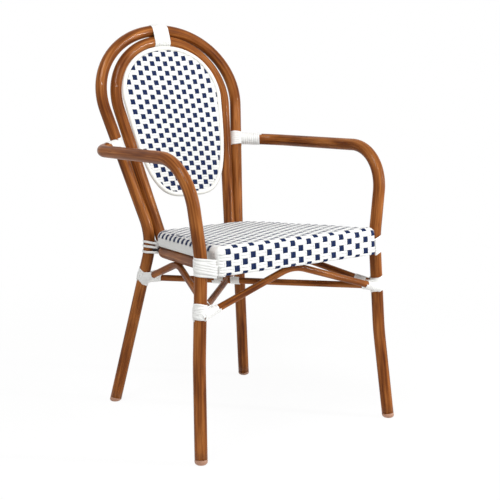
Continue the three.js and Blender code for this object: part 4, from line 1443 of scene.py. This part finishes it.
def directly_seen(nodes):
    """1 for the camera, for reflections and through a surface, and 0 for light on the chair."""
    rays = nodes.node("LightPath").outputs
    through = nodes.math("MAXIMUM", rays["Is Glossy Ray"], rays["Is Transmission Ray"])
    return nodes.math("MAXIMUM", rays["Is Camera Ray"], through)


finish = Finish("studio_floor", Base_Color=(0.98, 0.98, 0.98), Roughness=0.9, Specular_IOR_Level=0.0)
place = finish.node("TexCoord").outputs["Object"]
from_middle = finish.node("VectorMath", {0: place}, operation="LENGTH")
whiter = finish.node("MapRange", {"Value": from_middle.outputs["Value"], "From Min": 0.5,
                                  "From Max": 1.6, "To Min": 0.94, "To Max": 1.0},
                     interpolation_type="SMOOTHSTEP")
share = finish.math("MULTIPLY", directly_seen(finish), whiter.outputs["Result"])
glow = finish.node("Emission", {"Color": PLAIN_WHITE, "Strength": 1.0})
mixed = finish.node("MixShader", {0: share, 1: finish.shader.outputs["BSDF"], 2: glow.outputs[0]})
finish.feed(finish.tree.nodes["Material Output"].inputs["Surface"], mixed.outputs[0])

corners = [(x * FLOOR_HALF, y * FLOOR_HALF, 0) for x, y in ((-1, -1), (1, -1), (1, 1), (-1, 1))]
floor_mesh = bpy.data.meshes.new("studio_floor")
floor_mesh.from_pydata(corners, [], [(0, 1, 2, 3)])
floor_mesh.materials.append(finish.material)
floor = bpy.data.objects.new("studio_floor", floor_mesh)
bpy.context.scene.collection.objects.link(floor)
floor.location.z = -FLOOR_DROP

# %% World
AMBIENT = 0.35
world = bpy.data.worlds.new("Studio surround")
bpy.context.scene.world = world
world.use_nodes = True
world.node_tree.nodes.clear()
sky = Nodes(world.node_tree)
ambient = sky.node("Background", {"Color": PLAIN_WHITE, "Strength": AMBIENT}).outputs[0]
white = sky.node("Background", {"Color": PLAIN_WHITE, "Strength": 1.0}).outputs[0]
mixed = sky.node("MixShader", {0: directly_seen(sky), 1: ambient, 2: white}).outputs[0]
sky.node("OutputWorld", {"Surface": mixed})
print("light from all round, apart from the lamps:", AMBIENT)

# %% Lamps
LAMP_TARGET = Vector((0.0, 0.0, 0.45))
for name, place, width, height, watts in (
        ("Broad lamp", (-1.3, -0.9, 3.1), 1.1, 1.1, 56.0),
        ("Front lamp", (0.6, -3.0, 1.6), 0.8, 0.8, 11.0),
        ("Line lamp", (1.66, -1.84, 1.25), 0.06, 1.4, 44.0),
        ("High line lamp", (-0.9, -1.9, 2.7), 1.2, 0.07, 13.0)):
    light = bpy.data.lights.new(name, "AREA")
    light.shape = "RECTANGLE"
    light.size, light.size_y = width, height
    light.energy = watts
    lamp = bpy.data.objects.new(name, light)
    lamp.location = place
    lamp.rotation_euler = (LAMP_TARGET - Vector(place)).to_track_quat("-Z", "Y").to_euler()
    bpy.context.scene.collection.objects.link(lamp)

# %% [markdown]
# ## Camera
# The view was solved from the photograph: a lens of about 83 mm, 0.85 m above the floor, before the
# chair's left front corner, and tilted down by 10 degrees. The focal length in pixels belongs to a
# picture 500 pixels wide, so the width of the sensor turns it into millimetres.

# %% Camera
FRAME_PIXELS = 500.0
FOCAL_PIXELS = 1150.51
SENSOR = 36.0
AZIMUTH = math.radians(-35.62)
ELEVATION = math.radians(10.22)
ROLL = math.radians(0.18)
EYE = Vector((-1480.36, -2114.66, 849.96))

back_way = Vector((math.sin(AZIMUTH) * math.cos(ELEVATION), -math.cos(AZIMUTH) * math.cos(ELEVATION),
                   math.sin(ELEVATION)))
right_way = Vector((math.cos(AZIMUTH), math.sin(AZIMUTH), 0.0))
up_way = back_way.cross(right_way)
rolled_right = right_way * math.cos(ROLL) - up_way * math.sin(ROLL)
rolled_up = right_way * math.sin(ROLL) + up_way * math.cos(ROLL)

# %% Lens and place
lens = bpy.data.cameras.new("Camera")
lens.sensor_width = SENSOR
lens.lens = FOCAL_PIXELS / FRAME_PIXELS * SENSOR
camera = bpy.data.objects.new("Camera", lens)
turn = Matrix((rolled_right, rolled_up, back_way)).transposed().to_4x4()
camera.matrix_world = Matrix.Translation((EYE + SHIFT) * MM) @ turn
bpy.context.scene.collection.objects.link(camera)
bpy.context.scene.camera = camera
bpy.context.scene.view_settings.view_transform = "Standard"
print("lens, mm:", round(lens.lens, 2), "eye, m:", [round(v, 3) for v in camera.location])
